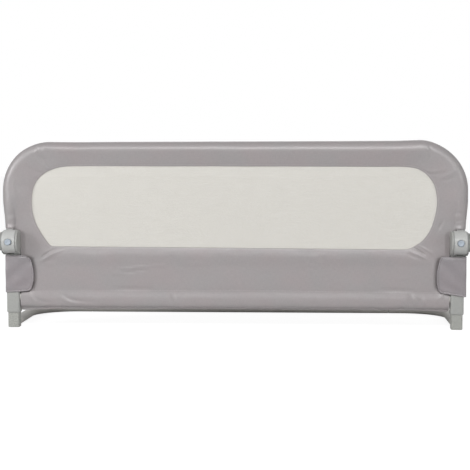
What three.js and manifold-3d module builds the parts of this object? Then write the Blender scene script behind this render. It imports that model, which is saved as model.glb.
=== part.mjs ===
// Folding bed guard rail, built as separate pieces in millimetres.
// X runs along the rail, -Y faces the room, +Y goes under the mattress and +Z is up.
import * as THREE from "three";
import { mergeVertices } from "three/addons/utils/BufferGeometryUtils.js";
import Module from "manifold-3d";

const wasm = await Module();
wasm.setup();

// General fits
const seatGap = 0.3;
const overrun = 4;
const weldDistance = 0.001;
const edgeRound = 1.5;

// Steel tube
const tubeDiameter = 22;
const tubeWall = 1.2;
const plugLength = 30;
const swageLength = 3;
const tubeRadius = tubeDiameter / 2;
const tubeBore = tubeRadius - tubeWall;
const plugRadius = tubeBore - seatGap;

// Upper frame, measured on the centreline of its tubes
const railWidth = 1049;
const railHeight = 420;
const railBendRadius = 96;
const topJointReach = 60;
const uprightX = railWidth / 2;
const topJointX = uprightX - railBendRadius - topJointReach;

// Padding and fabric sleeve round the upper frame
const foamWall = 5.7;
const sleeveEase = 1;
const coverWall = 1.2;
const foamBore = tubeRadius + seatGap;
const foamRadius = foamBore + foamWall;
const sleeveBore = foamRadius + sleeveEase;
const sleeveRadius = sleeveBore + coverWall;

// Hinge axis and knuckle barrel
const hingeHeight = 204;
const hingeForward = 24;
const barrelRadius = 27.5;
const barrelWall = 3;
const barrelInset = 27;
const barrelClearance = 0.7;
const crownRun = 8;
const crownDrop = 3.6;
const chamberRadius = barrelRadius - barrelWall;

// Socket on the knuckle that takes the upright
const stopRise = 6;
const socketWall = 1.9;
const socketFloor = 20;
const socketGrip = 32;
const webRise = 29;
const webReach = 30;
const webRoot = 8;
const socketRadius = tubeRadius + seatGap + socketWall;
const stopHeight = hingeHeight + stopRise;
const tubeFoot = stopHeight + socketFloor;
const socketTop = tubeFoot + socketGrip;
const webTop = stopHeight + webRise;

// Clevis ears of the leg casing
const innerEarGap = 1.5;
const outerEarGap = 0.5;
const innerEarWall = 3.6;
const outerEarWall = 5.3;
const earRound = 2.6;
const headUnder = 4.5;
const headFront = 12;
const headRearRise = 28;
const headBottom = hingeHeight - barrelRadius - headUnder;
const barrelInX = -barrelInset;
const barrelOutX = socketRadius;
const innerEarFace = barrelInX - innerEarGap;
const innerEarBack = innerEarFace - innerEarWall;
const outerEarFace = barrelOutX + outerEarGap;
const outerEarBack = outerEarFace + outerEarWall;

// Foot post
const footWidth = 26.5;
const footCorner = 4;
const footChamfer = 1.5;
const footInset = 5;
const spigotLength = 30;

// Leg casing
const legWall = 1.95;
const legBottom = 35;
const legCorner = 5;
const legChamfer = 2.5;
const postGrip = 22;
const legWidth = footWidth + 2 * (seatGap + legWall);
const legX = -footInset;
const postTop = legBottom + postGrip;

// Base that goes under the mattress
const baseDepth = 295;
const baseBendRadius = 108;
const baseJointReach = 140;
const baseHeight = tubeRadius;
const armX = uprightX - footInset;
const baseJointX = armX - baseJointReach;

// Lower cross bar in the hem of the cover
const barRise = 15;
const barGrip = 14;
const barHeight = postTop + barRise;

// Pivot pin, cap and lock
const pinRadius = 3;
const pinRecess = 0.5;
const pinHeadRadius = 6;
const pinHeadWall = 1.9;
const capRadius = 22;
const capHeight = 6;
const hubRadius = 8;
const hubWidth = 12.5;
const shankRadius = 6;
const keySide = 8;
const notchWidth = 4.6;
const notchDepth = 3.5;
const toothWidth = 4;
const toothLength = 3;
const sliderBar = 3.7;
const sliderWall = 5;

// Release button and its spring
const buttonInset = 1.3;
const buttonRadius = 7.25;
const buttonStand = 2.5;
const buttonDome = 1;
const buttonTravel = 4;
const flangeRadius = 9;
const flangeWall = 2;
const stemRadius = 4;
const ringRadius = 9.3;
const ringDepth = 1.2;
const springRadius = 3.6;
const springWire = 0.4;
const springTurns = 4;
const buttonX = -buttonInset;

// Screws
const screwHeadRadius = 3;
const screwHeadWall = 1.5;
const screwRadius = 1.6;
const tubeScrewLength = 5;
const footScrewLength = 10;
const screwRise = 20;
const screwHeight = tubeFoot + screwRise;

// Cover: two sheets of fabric with the net sewn between them at the window
const panelForward = 6;
const netWall = 0.6;
const splitDrop = 24;
const hingeRoom = 5.4;
const legRoom = 4.4;
const reliefDrop = 4;
const reliefRound = 7;
const curveRise = 8;
const cuffRise = 2;
const cuffEase = 0.6;
const gatherShare = 0.27;
const hemDrop = 24;
const pocketWall = 1.5;
const hemForward = 1;
const tuckDrop = 19;
const tuckReach = 14;
const tuckDepth = 2;
const panelWall = netWall + 2 * (seatGap + coverWall);
const splitHeight = hingeHeight - splitDrop;
const cuffBottom = webTop + cuffRise;
const bendStart = railHeight - railBendRadius;
const panelTopEdgeX = uprightX + innerEarBack - hingeRoom;
const panelLowEdgeX = armX - legWidth / 2 - legRoom;
const pocketRadius = tubeRadius + seatGap + pocketWall;

// Mesh window
const windowDrop = 41;
const windowSill = 9.5;
const windowInset = 52;
const topCornerRun = 95.5;
const lowCornerRun = 55.5;
const waistShare = 0.61;
const windowHem = 6;
const netMargin = 7;
const netStrand = 4;
const netColumns = 22;
const netRows = 5;
const windowTop = railHeight - windowDrop;
const windowBottom = splitHeight + windowSill;
const windowWaist = windowBottom + waistShare * (windowTop - windowBottom);
const windowHalfWidth = uprightX - windowInset;
const windowTopHalf = windowHalfWidth - topCornerRun;
const windowBottomHalf = windowHalfWidth - lowCornerRun;

// Flap round each leg
const flapWall = 1.6;
const flapTopGap = 1;
const flapLowGap = 1.2;
const flapTongue = 36.2;
const flapTail = 3;
const flapFall = 1.2;
const flapCorner = 14;
const flapTop = headBottom - flapTopGap;
const flapBottom = barHeight + pocketRadius + flapLowGap;

// Number of facets and steps
const tubeSides = 16;
const bendSteps = 7;
const roundSides = 24;
const smallSides = 12;
const arcSegments = 8;
const cornerSegments = 2;
const roundSteps = 3;
const wireSides = 5;
const curlSteps = 8;

// Finishes seen in daylight
const finishes = {
  fabric: { color: 0xa39e9e, roughness: 0.9, metalness: 0 },
  flap: { color: 0x9c9798, roughness: 0.9, metalness: 0 },
  net: { color: 0xd9d6cf, roughness: 0.85, metalness: 0 },
  foam: { color: 0xe4e2dc, roughness: 0.95, metalness: 0 },
  casing: { color: 0xa7a8a5, roughness: 0.5, metalness: 0 },
  foot: { color: 0xa5a6a2, roughness: 0.6, metalness: 0 },
  knuckle: { color: 0xb4b6b2, roughness: 0.45, metalness: 0 },
  button: { color: 0xb0b9c3, roughness: 0.35, metalness: 0 },
  paintedTube: { color: 0xaaa8a6, roughness: 0.45, metalness: 0.3 },
  steel: { color: 0xb8b8ba, roughness: 0.35, metalness: 1 },
};

// Closed geometry to solid and back
function facesOut(places, corners) {
  const [a, b, c] = [new THREE.Vector3(), new THREE.Vector3(), new THREE.Vector3()];
  let volume = 0;
  for (let i = 0; i < corners.length; i += 3) {
    a.fromArray(places, 3 * corners[i]);
    b.fromArray(places, 3 * corners[i + 1]);
    c.fromArray(places, 3 * corners[i + 2]);
    volume += a.dot(b.cross(c));
  }
  return volume > 0;
}

function solid(geometry) {
  const bare = new THREE.BufferGeometry();
  bare.setAttribute("position", geometry.getAttribute("position"));
  bare.setIndex(geometry.getIndex());
  const merged = mergeVertices(bare, weldDistance);
  const places = new Float32Array(merged.getAttribute("position").array);
  const all = merged.getIndex().array;
  const corners = [];
  for (let i = 0; i < all.length; i += 3) {
    const [a, b, c] = all.slice(i, i + 3);
    if (a !== b && b !== c && c !== a) corners.push(a, b, c);
  }
  if (!facesOut(places, corners)) corners.reverse();
  const triVerts = new Uint32Array(corners);
  return new wasm.Manifold(new wasm.Mesh({ numProp: 3, vertProperties: places, triVerts }));
}

function geometryOf(body) {
  const mesh = body.getMesh();
  const geometry = new THREE.BufferGeometry();
  geometry.setAttribute("position", new THREE.BufferAttribute(mesh.vertProperties, 3));
  geometry.setIndex(new THREE.BufferAttribute(mesh.triVerts, 1));
  return geometry;
}

function join(first, ...others) {
  return others.reduce((sum, other) => sum.add(other), first);
}

function cut(body, ...tools) {
  return tools.reduce((rest, tool) => rest.subtract(tool), body);
}

// Outlines
function circle(radius, sides) {
  const points = [];
  for (let i = 0; i < sides; i += 1) {
    const angle = (2 * Math.PI * (i + 0.5)) / sides;
    points.push(new THREE.Vector2(radius * Math.cos(angle), radius * Math.sin(angle)));
  }
  return points;
}

function roundedRectangle(width, depth, corner) {
  const [right, top] = [width / 2 - corner, depth / 2 - corner];
  const shape = new THREE.Shape();
  shape.absarc(right, top, corner, 0, Math.PI / 2);
  shape.absarc(-right, top, corner, Math.PI / 2, Math.PI);
  shape.absarc(-right, -top, corner, Math.PI, 1.5 * Math.PI);
  shape.absarc(right, -top, corner, 1.5 * Math.PI, 2 * Math.PI);
  return new THREE.Shape(shape.getPoints(cornerSegments));
}

function polygon(...points) {
  return new THREE.Shape(points.map(([x, y]) => new THREE.Vector2(x, y)));
}

// A band of even thickness on one side of a run of points
function band(points, wall) {
  const line = points.map(([x, y]) => new THREE.Vector2(x, y));
  const outer = line.map((point, i) => {
    const before = line[Math.max(i - 1, 0)];
    const after = line[Math.min(i + 1, line.length - 1)];
    const arriving = point.clone().sub(i > 0 ? before : after).multiplyScalar(i > 0 ? 1 : -1).normalize();
    const leaving = after.clone().sub(point).normalize();
    if (i === line.length - 1) leaving.copy(arriving);
    const side = new THREE.Vector2(arriving.y + leaving.y, -arriving.x - leaving.x).normalize();
    const stretch = 1 / (side.x * arriving.y - side.y * arriving.x);
    return point.clone().addScaledVector(side, wall * stretch);
  });
  return new THREE.Shape([...line, ...outer.reverse()]);
}

// Prisms along each axis, from a low place to a high one
function extrude(shape, length, settings = {}) {
  const given = { depth: length, bevelEnabled: false, curveSegments: arcSegments, ...settings };
  return new THREE.ExtrudeGeometry(shape, given);
}

const yzPlane = new THREE.Matrix4().makeBasis(
  new THREE.Vector3(0, 1, 0),
  new THREE.Vector3(0, 0, 1),
  new THREE.Vector3(1, 0, 0),
);

function prismX(shape, low, high) {
  return solid(extrude(shape, high - low).applyMatrix4(yzPlane).translate(low, 0, 0));
}

// A prism along X whose end faces have rounded edges
function softPrismX(shape, low, high, round) {
  const bevel = { bevelEnabled: true, bevelSegments: roundSteps, bevelSize: round, bevelThickness: round };
  const geometry = extrude(shape, high - low - 2 * round, { ...bevel, bevelOffset: -round });
  return solid(geometry.applyMatrix4(yzPlane).translate(low + round, 0, 0));
}

function prismY(shape, low, high) {
  return solid(extrude(shape, high - low).rotateX(Math.PI / 2).translate(0, high, 0));
}

function prismZ(shape, low, high) {
  return solid(extrude(shape, high - low).translate(0, 0, low));
}

// A post along Z whose two ends are chamfered
function chamferedPost(shape, low, high, chamfer) {
  const bevel = { bevelEnabled: true, bevelSegments: 1, bevelSize: chamfer, bevelThickness: chamfer };
  const settings = { ...bevel, bevelOffset: -chamfer };
  return solid(extrude(shape, high - low - 2 * chamfer, settings).translate(0, 0, low + chamfer));
}

function block(low, high) {
  const size = new THREE.Vector3().subVectors(high, low);
  const middle = new THREE.Vector3().addVectors(high, low).multiplyScalar(0.5);
  return solid(new THREE.BoxGeometry(...size.toArray()).translate(...middle.toArray()));
}

// Turned bodies, from profiles of radius and place along the axis
function turn(profile, sides) {
  const points = profile.map(([radius, along]) => new THREE.Vector2(radius, along));
  return new THREE.LatheGeometry(points, sides, Math.PI / sides);
}

function turnX(profile, sides = roundSides) {
  return solid(turn(profile, sides).rotateZ(-Math.PI / 2));
}

function turnY(profile, sides = smallSides) {
  return solid(turn(profile, sides));
}

function turnZ(profile, sides = roundSides) {
  return solid(turn(profile, sides).rotateX(Math.PI / 2));
}

function rod(radius, low, high) {
  return [[0, low], [radius, low], [radius, high], [0, high]];
}

function softRod(radius, low, high, round) {
  return [
    [0, low],
    [radius - round, low],
    [radius, low + round],
    [radius, high - round],
    [radius - round, high],
    [0, high],
  ];
}

// A route with exact stations, so that straight runs stay plain and bends are fine
class Route extends THREE.Curve {
  constructor(stations) {
    super();
    this.stations = stations;
  }

  station(t) {
    return this.stations[Math.round(t * (this.stations.length - 1))];
  }

  getUtoTmapping(u) {
    return u;
  }

  getPoint(t, target = new THREE.Vector3()) {
    return target.copy(this.station(t).point);
  }

  getTangent(t, target = new THREE.Vector3()) {
    return target.copy(this.station(t).tangent);
  }
}

function straightStation(from, to, distance) {
  const tangent = new THREE.Vector3().subVectors(to, from).normalize();
  return { point: from.clone().addScaledVector(tangent, distance), tangent };
}

// The stations of a square bend, with an arc of the given radius in its corner
function bend(from, corner, to, radius) {
  const arriving = new THREE.Vector3().subVectors(corner, from).normalize();
  const leaving = new THREE.Vector3().subVectors(to, corner).normalize();
  const centre = corner.clone().addScaledVector(arriving, -radius).addScaledVector(leaving, radius);
  const stations = [];
  for (let i = 0; i <= bendSteps; i += 1) {
    const angle = (Math.PI * i) / (2 * bendSteps);
    const point = centre.clone();
    point.addScaledVector(leaving, -radius * Math.cos(angle));
    point.addScaledVector(arriving, radius * Math.sin(angle));
    const tangent = arriving.clone().multiplyScalar(Math.cos(angle));
    tangent.addScaledVector(leaving, Math.sin(angle));
    stations.push({ point, tangent });
  }
  return stations;
}

function cornerRoute(from, corner, to, radius) {
  const first = straightStation(from, corner, 0);
  const last = { ...straightStation(corner, to, 0), point: to.clone() };
  return new Route([first, ...bend(from, corner, to, radius), last]);
}

function swept(route, radius, bore = 0) {
  const section = new THREE.Shape(circle(radius, tubeSides));
  if (bore > 0) section.holes.push(new THREE.Path(circle(bore, tubeSides)));
  const steps = route.stations.length - 1;
  return new THREE.ExtrudeGeometry(section, { steps, extrudePath: route });
}

// A closed body through rings that have the same count of points, from sections drawn across its run
function loft(sections, placed) {
  const count = sections[0].length;
  const rings = sections.map((section, i) => section.map((point) => placed(point, i)));
  const corners = [];
  for (let low = 0; low < (rings.length - 1) * count; low += count) {
    for (let i = 0; i < count; i += 1) {
      const [a, b] = [low + i, low + ((i + 1) % count)];
      corners.push(a, b, b + count, a, b + count, a + count);
    }
  }
  const last = (rings.length - 1) * count;
  for (const face of THREE.ShapeUtils.triangulateShape(sections[0], [])) corners.push(...face.toReversed());
  for (const face of THREE.ShapeUtils.triangulateShape(sections.at(-1), [])) {
    corners.push(...face.map((corner) => corner + last));
  }
  const geometry = new THREE.BufferGeometry().setFromPoints(rings.flat());
  return solid(geometry.setIndex(corners));
}

// A straight tube along X whose two swaged ends plug into bent tubes
function pluggedTube(halfLength) {
  const shoulder = halfLength - seatGap;
  const end = halfLength + plugLength;
  const bore = plugRadius - tubeWall;
  const half = [[tubeRadius, shoulder - swageLength], [plugRadius, shoulder], [plugRadius, end], [bore, end]];
  const mirrored = half.map(([radius, along]) => [radius, -along]).reverse();
  return turnX([...mirrored, ...half, mirrored[0]], tubeSides);
}

function straightPipe(radius, bore, halfLength) {
  const ends = [[bore, -halfLength], [radius, -halfLength], [radius, halfLength], [bore, halfLength]];
  return turnX([...ends, ends[0]], tubeSides);
}

// The upright and its bend, with the hole for the screw that holds it in the knuckle
function upperTube() {
  const low = new THREE.Vector3(0, 0, tubeFoot);
  const corner = new THREE.Vector3(0, 0, railHeight);
  const high = new THREE.Vector3(topJointX - uprightX, 0, railHeight);
  const pipe = solid(swept(cornerRoute(low, corner, high, railBendRadius), tubeRadius, tubeBore));
  const hole = turnY(rod(screwRadius + seatGap, 0, tubeRadius + overrun));
  return cut(pipe, hole.translate(0, 0, screwHeight));
}

function sideFoam() {
  const low = new THREE.Vector3(0, 0, socketTop + seatGap);
  const corner = new THREE.Vector3(0, 0, railHeight);
  const high = new THREE.Vector3(topJointX + seatGap - uprightX, 0, railHeight);
  return solid(swept(cornerRoute(low, corner, high, railBendRadius), foamRadius, foamBore));
}

function baseArm() {
  const front = new THREE.Vector3(legX, footWidth / 2 + seatGap, baseHeight);
  const corner = new THREE.Vector3(legX, baseDepth, baseHeight);
  const end = new THREE.Vector3(baseJointX - uprightX, baseDepth, baseHeight);
  return solid(swept(cornerRoute(front, corner, end, baseBendRadius), tubeRadius, tubeBore));
}

// The moulded post with the round spigot that the base arm slides onto
function foot() {
  const outline = roundedRectangle(footWidth, footWidth, footCorner);
  const post = chamferedPost(outline, 0, postTop, footChamfer);
  const back = footWidth / 2;
  const spigotEnd = back + spigotLength;
  const spigotProfile = [[0, 0], [plugRadius, 0], [plugRadius, spigotEnd - edgeRound]];
  const spigot = turnY([...spigotProfile, [plugRadius - edgeRound, spigotEnd], [0, spigotEnd]], tubeSides);
  const hole = turnY(rod(screwRadius + seatGap, back - footScrewLength, back + overrun));
  const screwPlace = legBottom + postGrip / 2;
  return cut(join(post, spigot.translate(0, 0, baseHeight)), hole.translate(0, 0, screwPlace));
}

// The side view of the clevis ears: a disc on a rear wall
function earOutline() {
  const back = legWidth / 2;
  const shape = new THREE.Shape();
  const shoulderAngle = Math.PI / 3;
  const shoulderY = barrelRadius * Math.cos(shoulderAngle) - hingeForward;
  const shoulderZ = hingeHeight + barrelRadius * Math.sin(shoulderAngle);
  shape.moveTo(back, headBottom);
  shape.lineTo(back, headBottom + headRearRise);
  shape.quadraticCurveTo(back, shoulderZ - edgeRound, shoulderY, shoulderZ);
  shape.absarc(-hingeForward, hingeHeight, barrelRadius, shoulderAngle, 1.5 * Math.PI);
  shape.lineTo(-headFront, headBottom);
  return shape;
}

// The leg below, the clevis above, and all that is cut from them
function legCasing() {
  const legOutline = roundedRectangle(legWidth, legWidth, legCorner);
  const leg = chamferedPost(legOutline, legBottom, hingeHeight, legChamfer);
  const head = softPrismX(earOutline(), innerEarBack, outerEarBack, earRound);
  const slotClear = barrelRadius + barrelClearance;
  const slotRound = turnX(rod(slotClear, innerEarFace, outerEarFace));
  const trackRadius = Math.hypot(barrelRadius + buttonStand, buttonRadius - 2 * buttonDome) + 2 * seatGap;
  const trackHalf = buttonRadius + 2 * seatGap;
  const buttonTrack = turnX(rod(trackRadius, buttonX - trackHalf, buttonX + trackHalf));
  const slotTop = block(
    new THREE.Vector3(innerEarFace, -hingeForward - slotClear, stopHeight - seatGap),
    new THREE.Vector3(outerEarFace, legWidth, hingeHeight + slotClear),
  );
  const pocketSide = footWidth + 2 * seatGap;
  const pocket = prismZ(
    roundedRectangle(pocketSide, pocketSide, footCorner + seatGap),
    legBottom - overrun,
    postTop + seatGap,
  );
  const barEnd = barGrip + seatGap - legWidth / 2;
  const barBore = turnX(rod(tubeRadius + seatGap, -legWidth, barEnd), tubeSides);
  const pinBore = turnX(rod(pinRadius + seatGap, 0, outerEarBack + overrun), smallSides);
  const headBore = turnX(
    rod(pinHeadRadius + seatGap, outerEarBack - pinHeadWall - 2 * seatGap, outerEarBack + overrun),
  );
  const keyHalf = keySide / 2 + seatGap;
  const keyHole = block(
    new THREE.Vector3(innerEarBack - overrun, -keyHalf, -keyHalf),
    new THREE.Vector3(innerEarFace + seatGap, keyHalf, keyHalf),
  );
  const screwBore = turnY(rod(screwHeadRadius + seatGap, 0, legWidth));
  const lower = cut(
    leg,
    pocket,
    barBore.translate(0, 0, barHeight),
    screwBore.translate(0, 0, legBottom + postGrip / 2),
  );
  const tools = [slotRound, buttonTrack, pinBore, headBore, keyHole];
  const atHinge = tools.map((tool) => tool.translate(0, -hingeForward, hingeHeight));
  return cut(join(lower.translate(legX, 0, 0), head), slotTop, ...atHinge);
}

// The side of the barrel: a soft edge at its inner end and a crown at its outer end
function barrelProfile() {
  const crown = [];
  for (let i = 0; i <= roundSteps; i += 1) {
    const angle = (Math.PI / 2) * (i / roundSteps);
    const radius = barrelRadius - crownDrop * (1 - Math.cos(angle));
    crown.push([radius, barrelOutX - crownRun * (1 - Math.sin(angle))]);
  }
  const softEdge = [[barrelRadius - edgeRound, barrelInX], [barrelRadius, barrelInX + edgeRound]];
  return [[0, barrelInX], ...softEdge, ...crown, [0, barrelOutX]];
}

// The barrel, the socket behind it and the web between them, hollowed for the lock
function wholeKnuckle() {
  const barrel = turnX(barrelProfile());
  const socketLow = stopHeight - hingeHeight;
  const socketHigh = socketTop - hingeHeight;
  const socketBody = turnZ(softRod(socketRadius, socketLow, socketHigh, edgeRound));
  const webLine = new THREE.Shape();
  const webHigh = webTop - hingeHeight;
  webLine.moveTo(hingeForward, socketLow);
  webLine.lineTo(hingeForward, webHigh);
  webLine.lineTo(hingeForward - socketRadius, webHigh);
  const webFront = hingeForward - webReach;
  webLine.quadraticCurveTo(hingeForward - socketRadius, barrelRadius, webFront, barrelRadius - edgeRound);
  webLine.lineTo(webFront, webRoot);
  const web = prismX(webLine, edgeRound - socketRadius, socketRadius - edgeRound);
  const chamber = turnX(rod(chamberRadius, barrelInX + barrelWall, barrelOutX - barrelWall));
  const shankBore = turnX(rod(shankRadius + seatGap, barrelInX - overrun, 0), smallSides);
  const pinBore = turnX(rod(pinRadius + seatGap, 0, barrelOutX + overrun), smallSides);
  const tubeHole = turnZ(rod(foamBore, tubeFoot - seatGap - hingeHeight, socketHigh + overrun), tubeSides);
  const buttonHole = turnY(rod(buttonRadius + seatGap, -barrelRadius - overrun, -stemRadius));
  const ringCut = turnY(rod(ringRadius, -barrelRadius - overrun, ringDepth - barrelRadius));
  const screwBore = turnY(rod(screwHeadRadius + seatGap, 0, socketRadius + overrun));
  return cut(
    join(barrel, socketBody.translate(0, hingeForward, 0), web),
    chamber,
    shankBore,
    pinBore,
    tubeHole.translate(0, hingeForward, 0),
    buttonHole.translate(buttonX, 0, 0),
    ringCut.translate(buttonX, 0, 0),
    screwBore.translate(0, hingeForward, screwHeight - hingeHeight),
  );
}

// One half of the knuckle, on the front or the rear of the plane through its axis
function knuckleHalf(knuckle, sign) {
  const span = socketTop;
  const [near, far] = [sign * (seatGap / 2), sign * span];
  const keep = block(
    new THREE.Vector3(-span, Math.min(near, far), -span),
    new THREE.Vector3(span, Math.max(near, far), span),
  );
  return knuckle.intersect(keep);
}

function hingeCap() {
  const rim = capHeight / 6;
  const domeShares = [[0.95, 0.4], [0.83, 0.63], [0.62, 0.84], [0.33, 0.96]];
  const dome = domeShares.map(([out, up]) => [capRadius * out, capHeight * up]);
  const profile = [[0, 0], [capRadius - rim, 0], [capRadius, rim], ...dome, [0, capHeight]];
  return turnX(profile).translate(outerEarBack + seatGap, 0, 0);
}

function pivotPin() {
  const headFace = outerEarBack - seatGap;
  const headBack = headFace - pinHeadWall;
  const tip = innerEarBack + pinRecess;
  const shank = [[0, tip], [pinRadius, tip], [pinRadius, headBack]];
  const head = [[pinHeadRadius, headBack], [pinHeadRadius, headFace], [0, headFace]];
  return turnX([...shank, ...head], smallSides);
}

// The fixed hub: a notched disc, a round shank and a square key in the inner ear
function lockHub() {
  const discLow = buttonX - hubWidth / 2;
  const discHigh = buttonX + hubWidth / 2;
  const shankLow = innerEarFace + seatGap;
  const turned = turnX([
    [0, shankLow],
    [shankRadius, shankLow],
    [shankRadius, discLow],
    [hubRadius, discLow],
    [hubRadius, discHigh],
    [0, discHigh],
  ]);
  const keyHalf = keySide / 2;
  const key = block(
    new THREE.Vector3(innerEarBack + pinRecess, -keyHalf, -keyHalf),
    new THREE.Vector3(shankLow + overrun, keyHalf, keyHalf),
  );
  const notch = block(
    new THREE.Vector3(discLow - overrun, hubRadius - notchDepth, -notchWidth / 2),
    new THREE.Vector3(discHigh + overrun, hubRadius + overrun, notchWidth / 2),
  );
  const bore = turnX(rod(pinRadius + seatGap, innerEarBack - overrun, discHigh + overrun), smallSides);
  return cut(join(turned, key), notch, bore);
}

// Where the lock slider's window and outline lie, from the hub, the tooth and the travel
const sliderEase = 2 * seatGap;
const sliderWindowBack = hubRadius + seatGap + toothLength;
const sliderWindowFront = -(hubRadius + buttonTravel + sliderEase);
const sliderWindowHalf = hubRadius + sliderEase;
const sliderBack = sliderWindowBack + sliderBar;
const sliderFront = sliderWindowFront - sliderBar;
const sliderHalf = sliderWindowHalf + sliderBar;

function lockSlider() {
  const shape = polygon(
    [sliderFront, -sliderHalf],
    [sliderBack, -sliderHalf],
    [sliderBack, sliderHalf],
    [sliderFront, sliderHalf],
  );
  const toothHalf = toothWidth / 2;
  const toothTip = sliderWindowBack - toothLength;
  const opening = [
    [sliderWindowFront, -sliderWindowHalf],
    [sliderWindowFront, sliderWindowHalf],
    [sliderWindowBack, sliderWindowHalf],
    [sliderWindowBack, toothHalf],
    [toothTip, toothHalf],
    [toothTip, -toothHalf],
    [sliderWindowBack, -toothHalf],
    [sliderWindowBack, -sliderWindowHalf],
  ];
  shape.holes.push(new THREE.Path(opening.map(([y, z]) => new THREE.Vector2(y, z))));
  return prismX(shape, buttonX - sliderWall / 2, buttonX + sliderWall / 2);
}

function releaseButton() {
  const face = -barrelRadius - buttonStand;
  const flangeFace = seatGap - Math.sqrt(chamberRadius ** 2 - flangeRadius ** 2);
  const flangeBack = flangeFace + flangeWall;
  const stemEnd = sliderFront - seatGap;
  const profile = [
    [0, face],
    [buttonRadius - 2 * buttonDome, face],
    [buttonRadius, face + buttonDome],
    [buttonRadius, flangeFace],
    [flangeRadius, flangeFace],
    [flangeRadius, flangeBack],
    [stemRadius, flangeBack],
    [stemRadius, stemEnd],
    [0, stemEnd],
  ];
  return turnY(profile, roundSides).translate(buttonX, 0, 0);
}

// A helix along Y between two places
class Helix extends THREE.Curve {
  constructor(radius, low, high, turns) {
    super();
    Object.assign(this, { radius, low, high, turns });
  }

  getPoint(t, target = new THREE.Vector3()) {
    const angle = 2 * Math.PI * this.turns * t;
    const along = this.low + (this.high - this.low) * t;
    return target.set(this.radius * Math.cos(angle), along, this.radius * Math.sin(angle));
  }
}

function returnSpring() {
  const wallReach = springRadius + springWire;
  const wallPlace = Math.sqrt(chamberRadius ** 2 - wallReach ** 2);
  const low = sliderBack + seatGap + springWire;
  const high = wallPlace - seatGap - springWire;
  const helix = new Helix(springRadius, low, high, springTurns);
  const section = new THREE.Shape(circle(springWire, wireSides));
  const steps = springTurns * curlSteps;
  const gap = leastCurlGap(helix);
  console.log(`return spring: least gap between curls ${gap.toFixed(2)} mm`);
  return solid(new THREE.ExtrudeGeometry(section, { steps, extrudePath: helix })).translate(buttonX, 0, 0);
}

// The least distance between wire surfaces that are at least half a curl apart
function leastCurlGap(helix) {
  const count = springTurns * curlSteps * 4;
  const points = helix.getPoints(count);
  const apart = count / springTurns / 2;
  let least = Infinity;
  for (let i = 0; i < points.length; i += 1) {
    for (let j = i + apart; j < points.length; j += 1) {
      least = Math.min(least, points[i].distanceTo(points[j]));
    }
  }
  return least - 2 * springWire;
}

// A flush screw along Y, its head's underside at y = 0 and its shaft going to -Y
function screw(length) {
  const profile = [
    [0, -length],
    [screwRadius, -length],
    [screwRadius, 0],
    [screwHeadRadius, 0],
    [screwHeadRadius, screwHeadWall],
    [0, screwHeadWall],
  ];
  return turnY(profile);
}

// Cloth that goes from behind the panel round the leg and back over its front
function legFlap() {
  const back = legWidth / 2 + seatGap;
  const outside = legX + back;
  const inside = legX - back;
  const tip = inside - flapTongue;
  const tailTip = tip - flapTail;
  const panelFront = -panelForward - panelWall / 2 - seatGap;
  const panelBack = -panelForward + panelWall / 2 + tuckDepth + seatGap;
  const line = [
    [tailTip, panelBack],
    [panelLowEdgeX - uprightX - seatGap, panelBack],
    [inside, back],
    [outside, back],
    [outside, -back],
    [inside - flapFall, -back],
    [tip, panelFront],
  ];
  const wrap = prismZ(band(line.reverse(), flapWall), flapBottom, flapTop);
  const outline = new THREE.Shape();
  outline.moveTo(legWidth, flapBottom - overrun);
  outline.lineTo(legWidth, flapTop + overrun);
  outline.lineTo(tip + flapCorner, flapTop + overrun);
  outline.lineTo(tip + flapCorner, flapTop);
  outline.quadraticCurveTo(tip, flapTop, tip, flapTop - flapCorner);
  outline.lineTo(tip, flapBottom + flapCorner);
  outline.quadraticCurveTo(tip, flapBottom, tip + flapCorner, flapBottom);
  outline.lineTo(tip + flapCorner, flapBottom - overrun);
  const frontKeep = prismY(outline, -legWidth, -panelForward);
  const rearKeep = block(
    new THREE.Vector3(tailTip - overrun, -panelForward - weldDistance, flapBottom - overrun),
    new THREE.Vector3(legWidth, legWidth, flapTop + overrun),
  );
  return wrap.intersect(join(frontKeep, rearKeep));
}

// The window's outline, wider by the margin on every side
function windowShape(margin) {
  const bottom = windowBottom - margin;
  const top = windowTop + margin;
  const side = windowHalfWidth + margin;
  const lowHalf = windowBottomHalf + margin;
  const lowRise = windowWaist - windowBottom;
  const lowRun = windowHalfWidth - windowBottomHalf;
  const highRise = windowTop - windowWaist;
  const highRun = windowHalfWidth - windowTopHalf;
  const cornerShares = [0.56, 0.25];
  const sideShare = 0.37;
  const shoulderShares = [0.6, 0.58];
  const shape = new THREE.Shape();
  shape.moveTo(-lowHalf, bottom);
  shape.lineTo(lowHalf, bottom);
  for (const sign of [1, -1]) {
    const rising = [
      [lowHalf + cornerShares[0] * lowRun, bottom + cornerShares[1] * lowRise],
      [side, windowWaist - sideShare * lowRise],
      [side, windowWaist],
    ];
    const closing = [
      [side, windowWaist + shoulderShares[0] * highRise],
      [windowTopHalf + shoulderShares[1] * highRun, top],
      [windowTopHalf, top],
    ];
    if (sign > 0) {
      shape.bezierCurveTo(...rising.flat());
      shape.bezierCurveTo(...closing.flat());
      shape.lineTo(-windowTopHalf, top);
    } else {
      const back = [...rising.slice().reverse(), [lowHalf, bottom]];
      const up = [...closing.slice().reverse(), [side, windowWaist]];
      shape.bezierCurveTo(...up.slice(1).map(([x, z]) => [-x, z]).flat());
      shape.bezierCurveTo(...back.slice(1).map(([x, z]) => [-x, z]).flat());
    }
  }
  return shape;
}

// How far an outline lies from a place, looking along a direction
function distanceTo(outline, from, direction) {
  let least = Infinity;
  outline.forEach((point, i) => {
    const side = outline[(i + 1) % outline.length].clone().sub(point);
    const across = direction.cross(side);
    if (across === 0) return;
    const reach = point.clone().sub(from);
    const share = reach.cross(direction) / across;
    const distance = reach.cross(side) / across;
    if (share >= 0 && share <= 1 && distance > 0) least = Math.min(least, distance);
  });
  return least;
}

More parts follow.
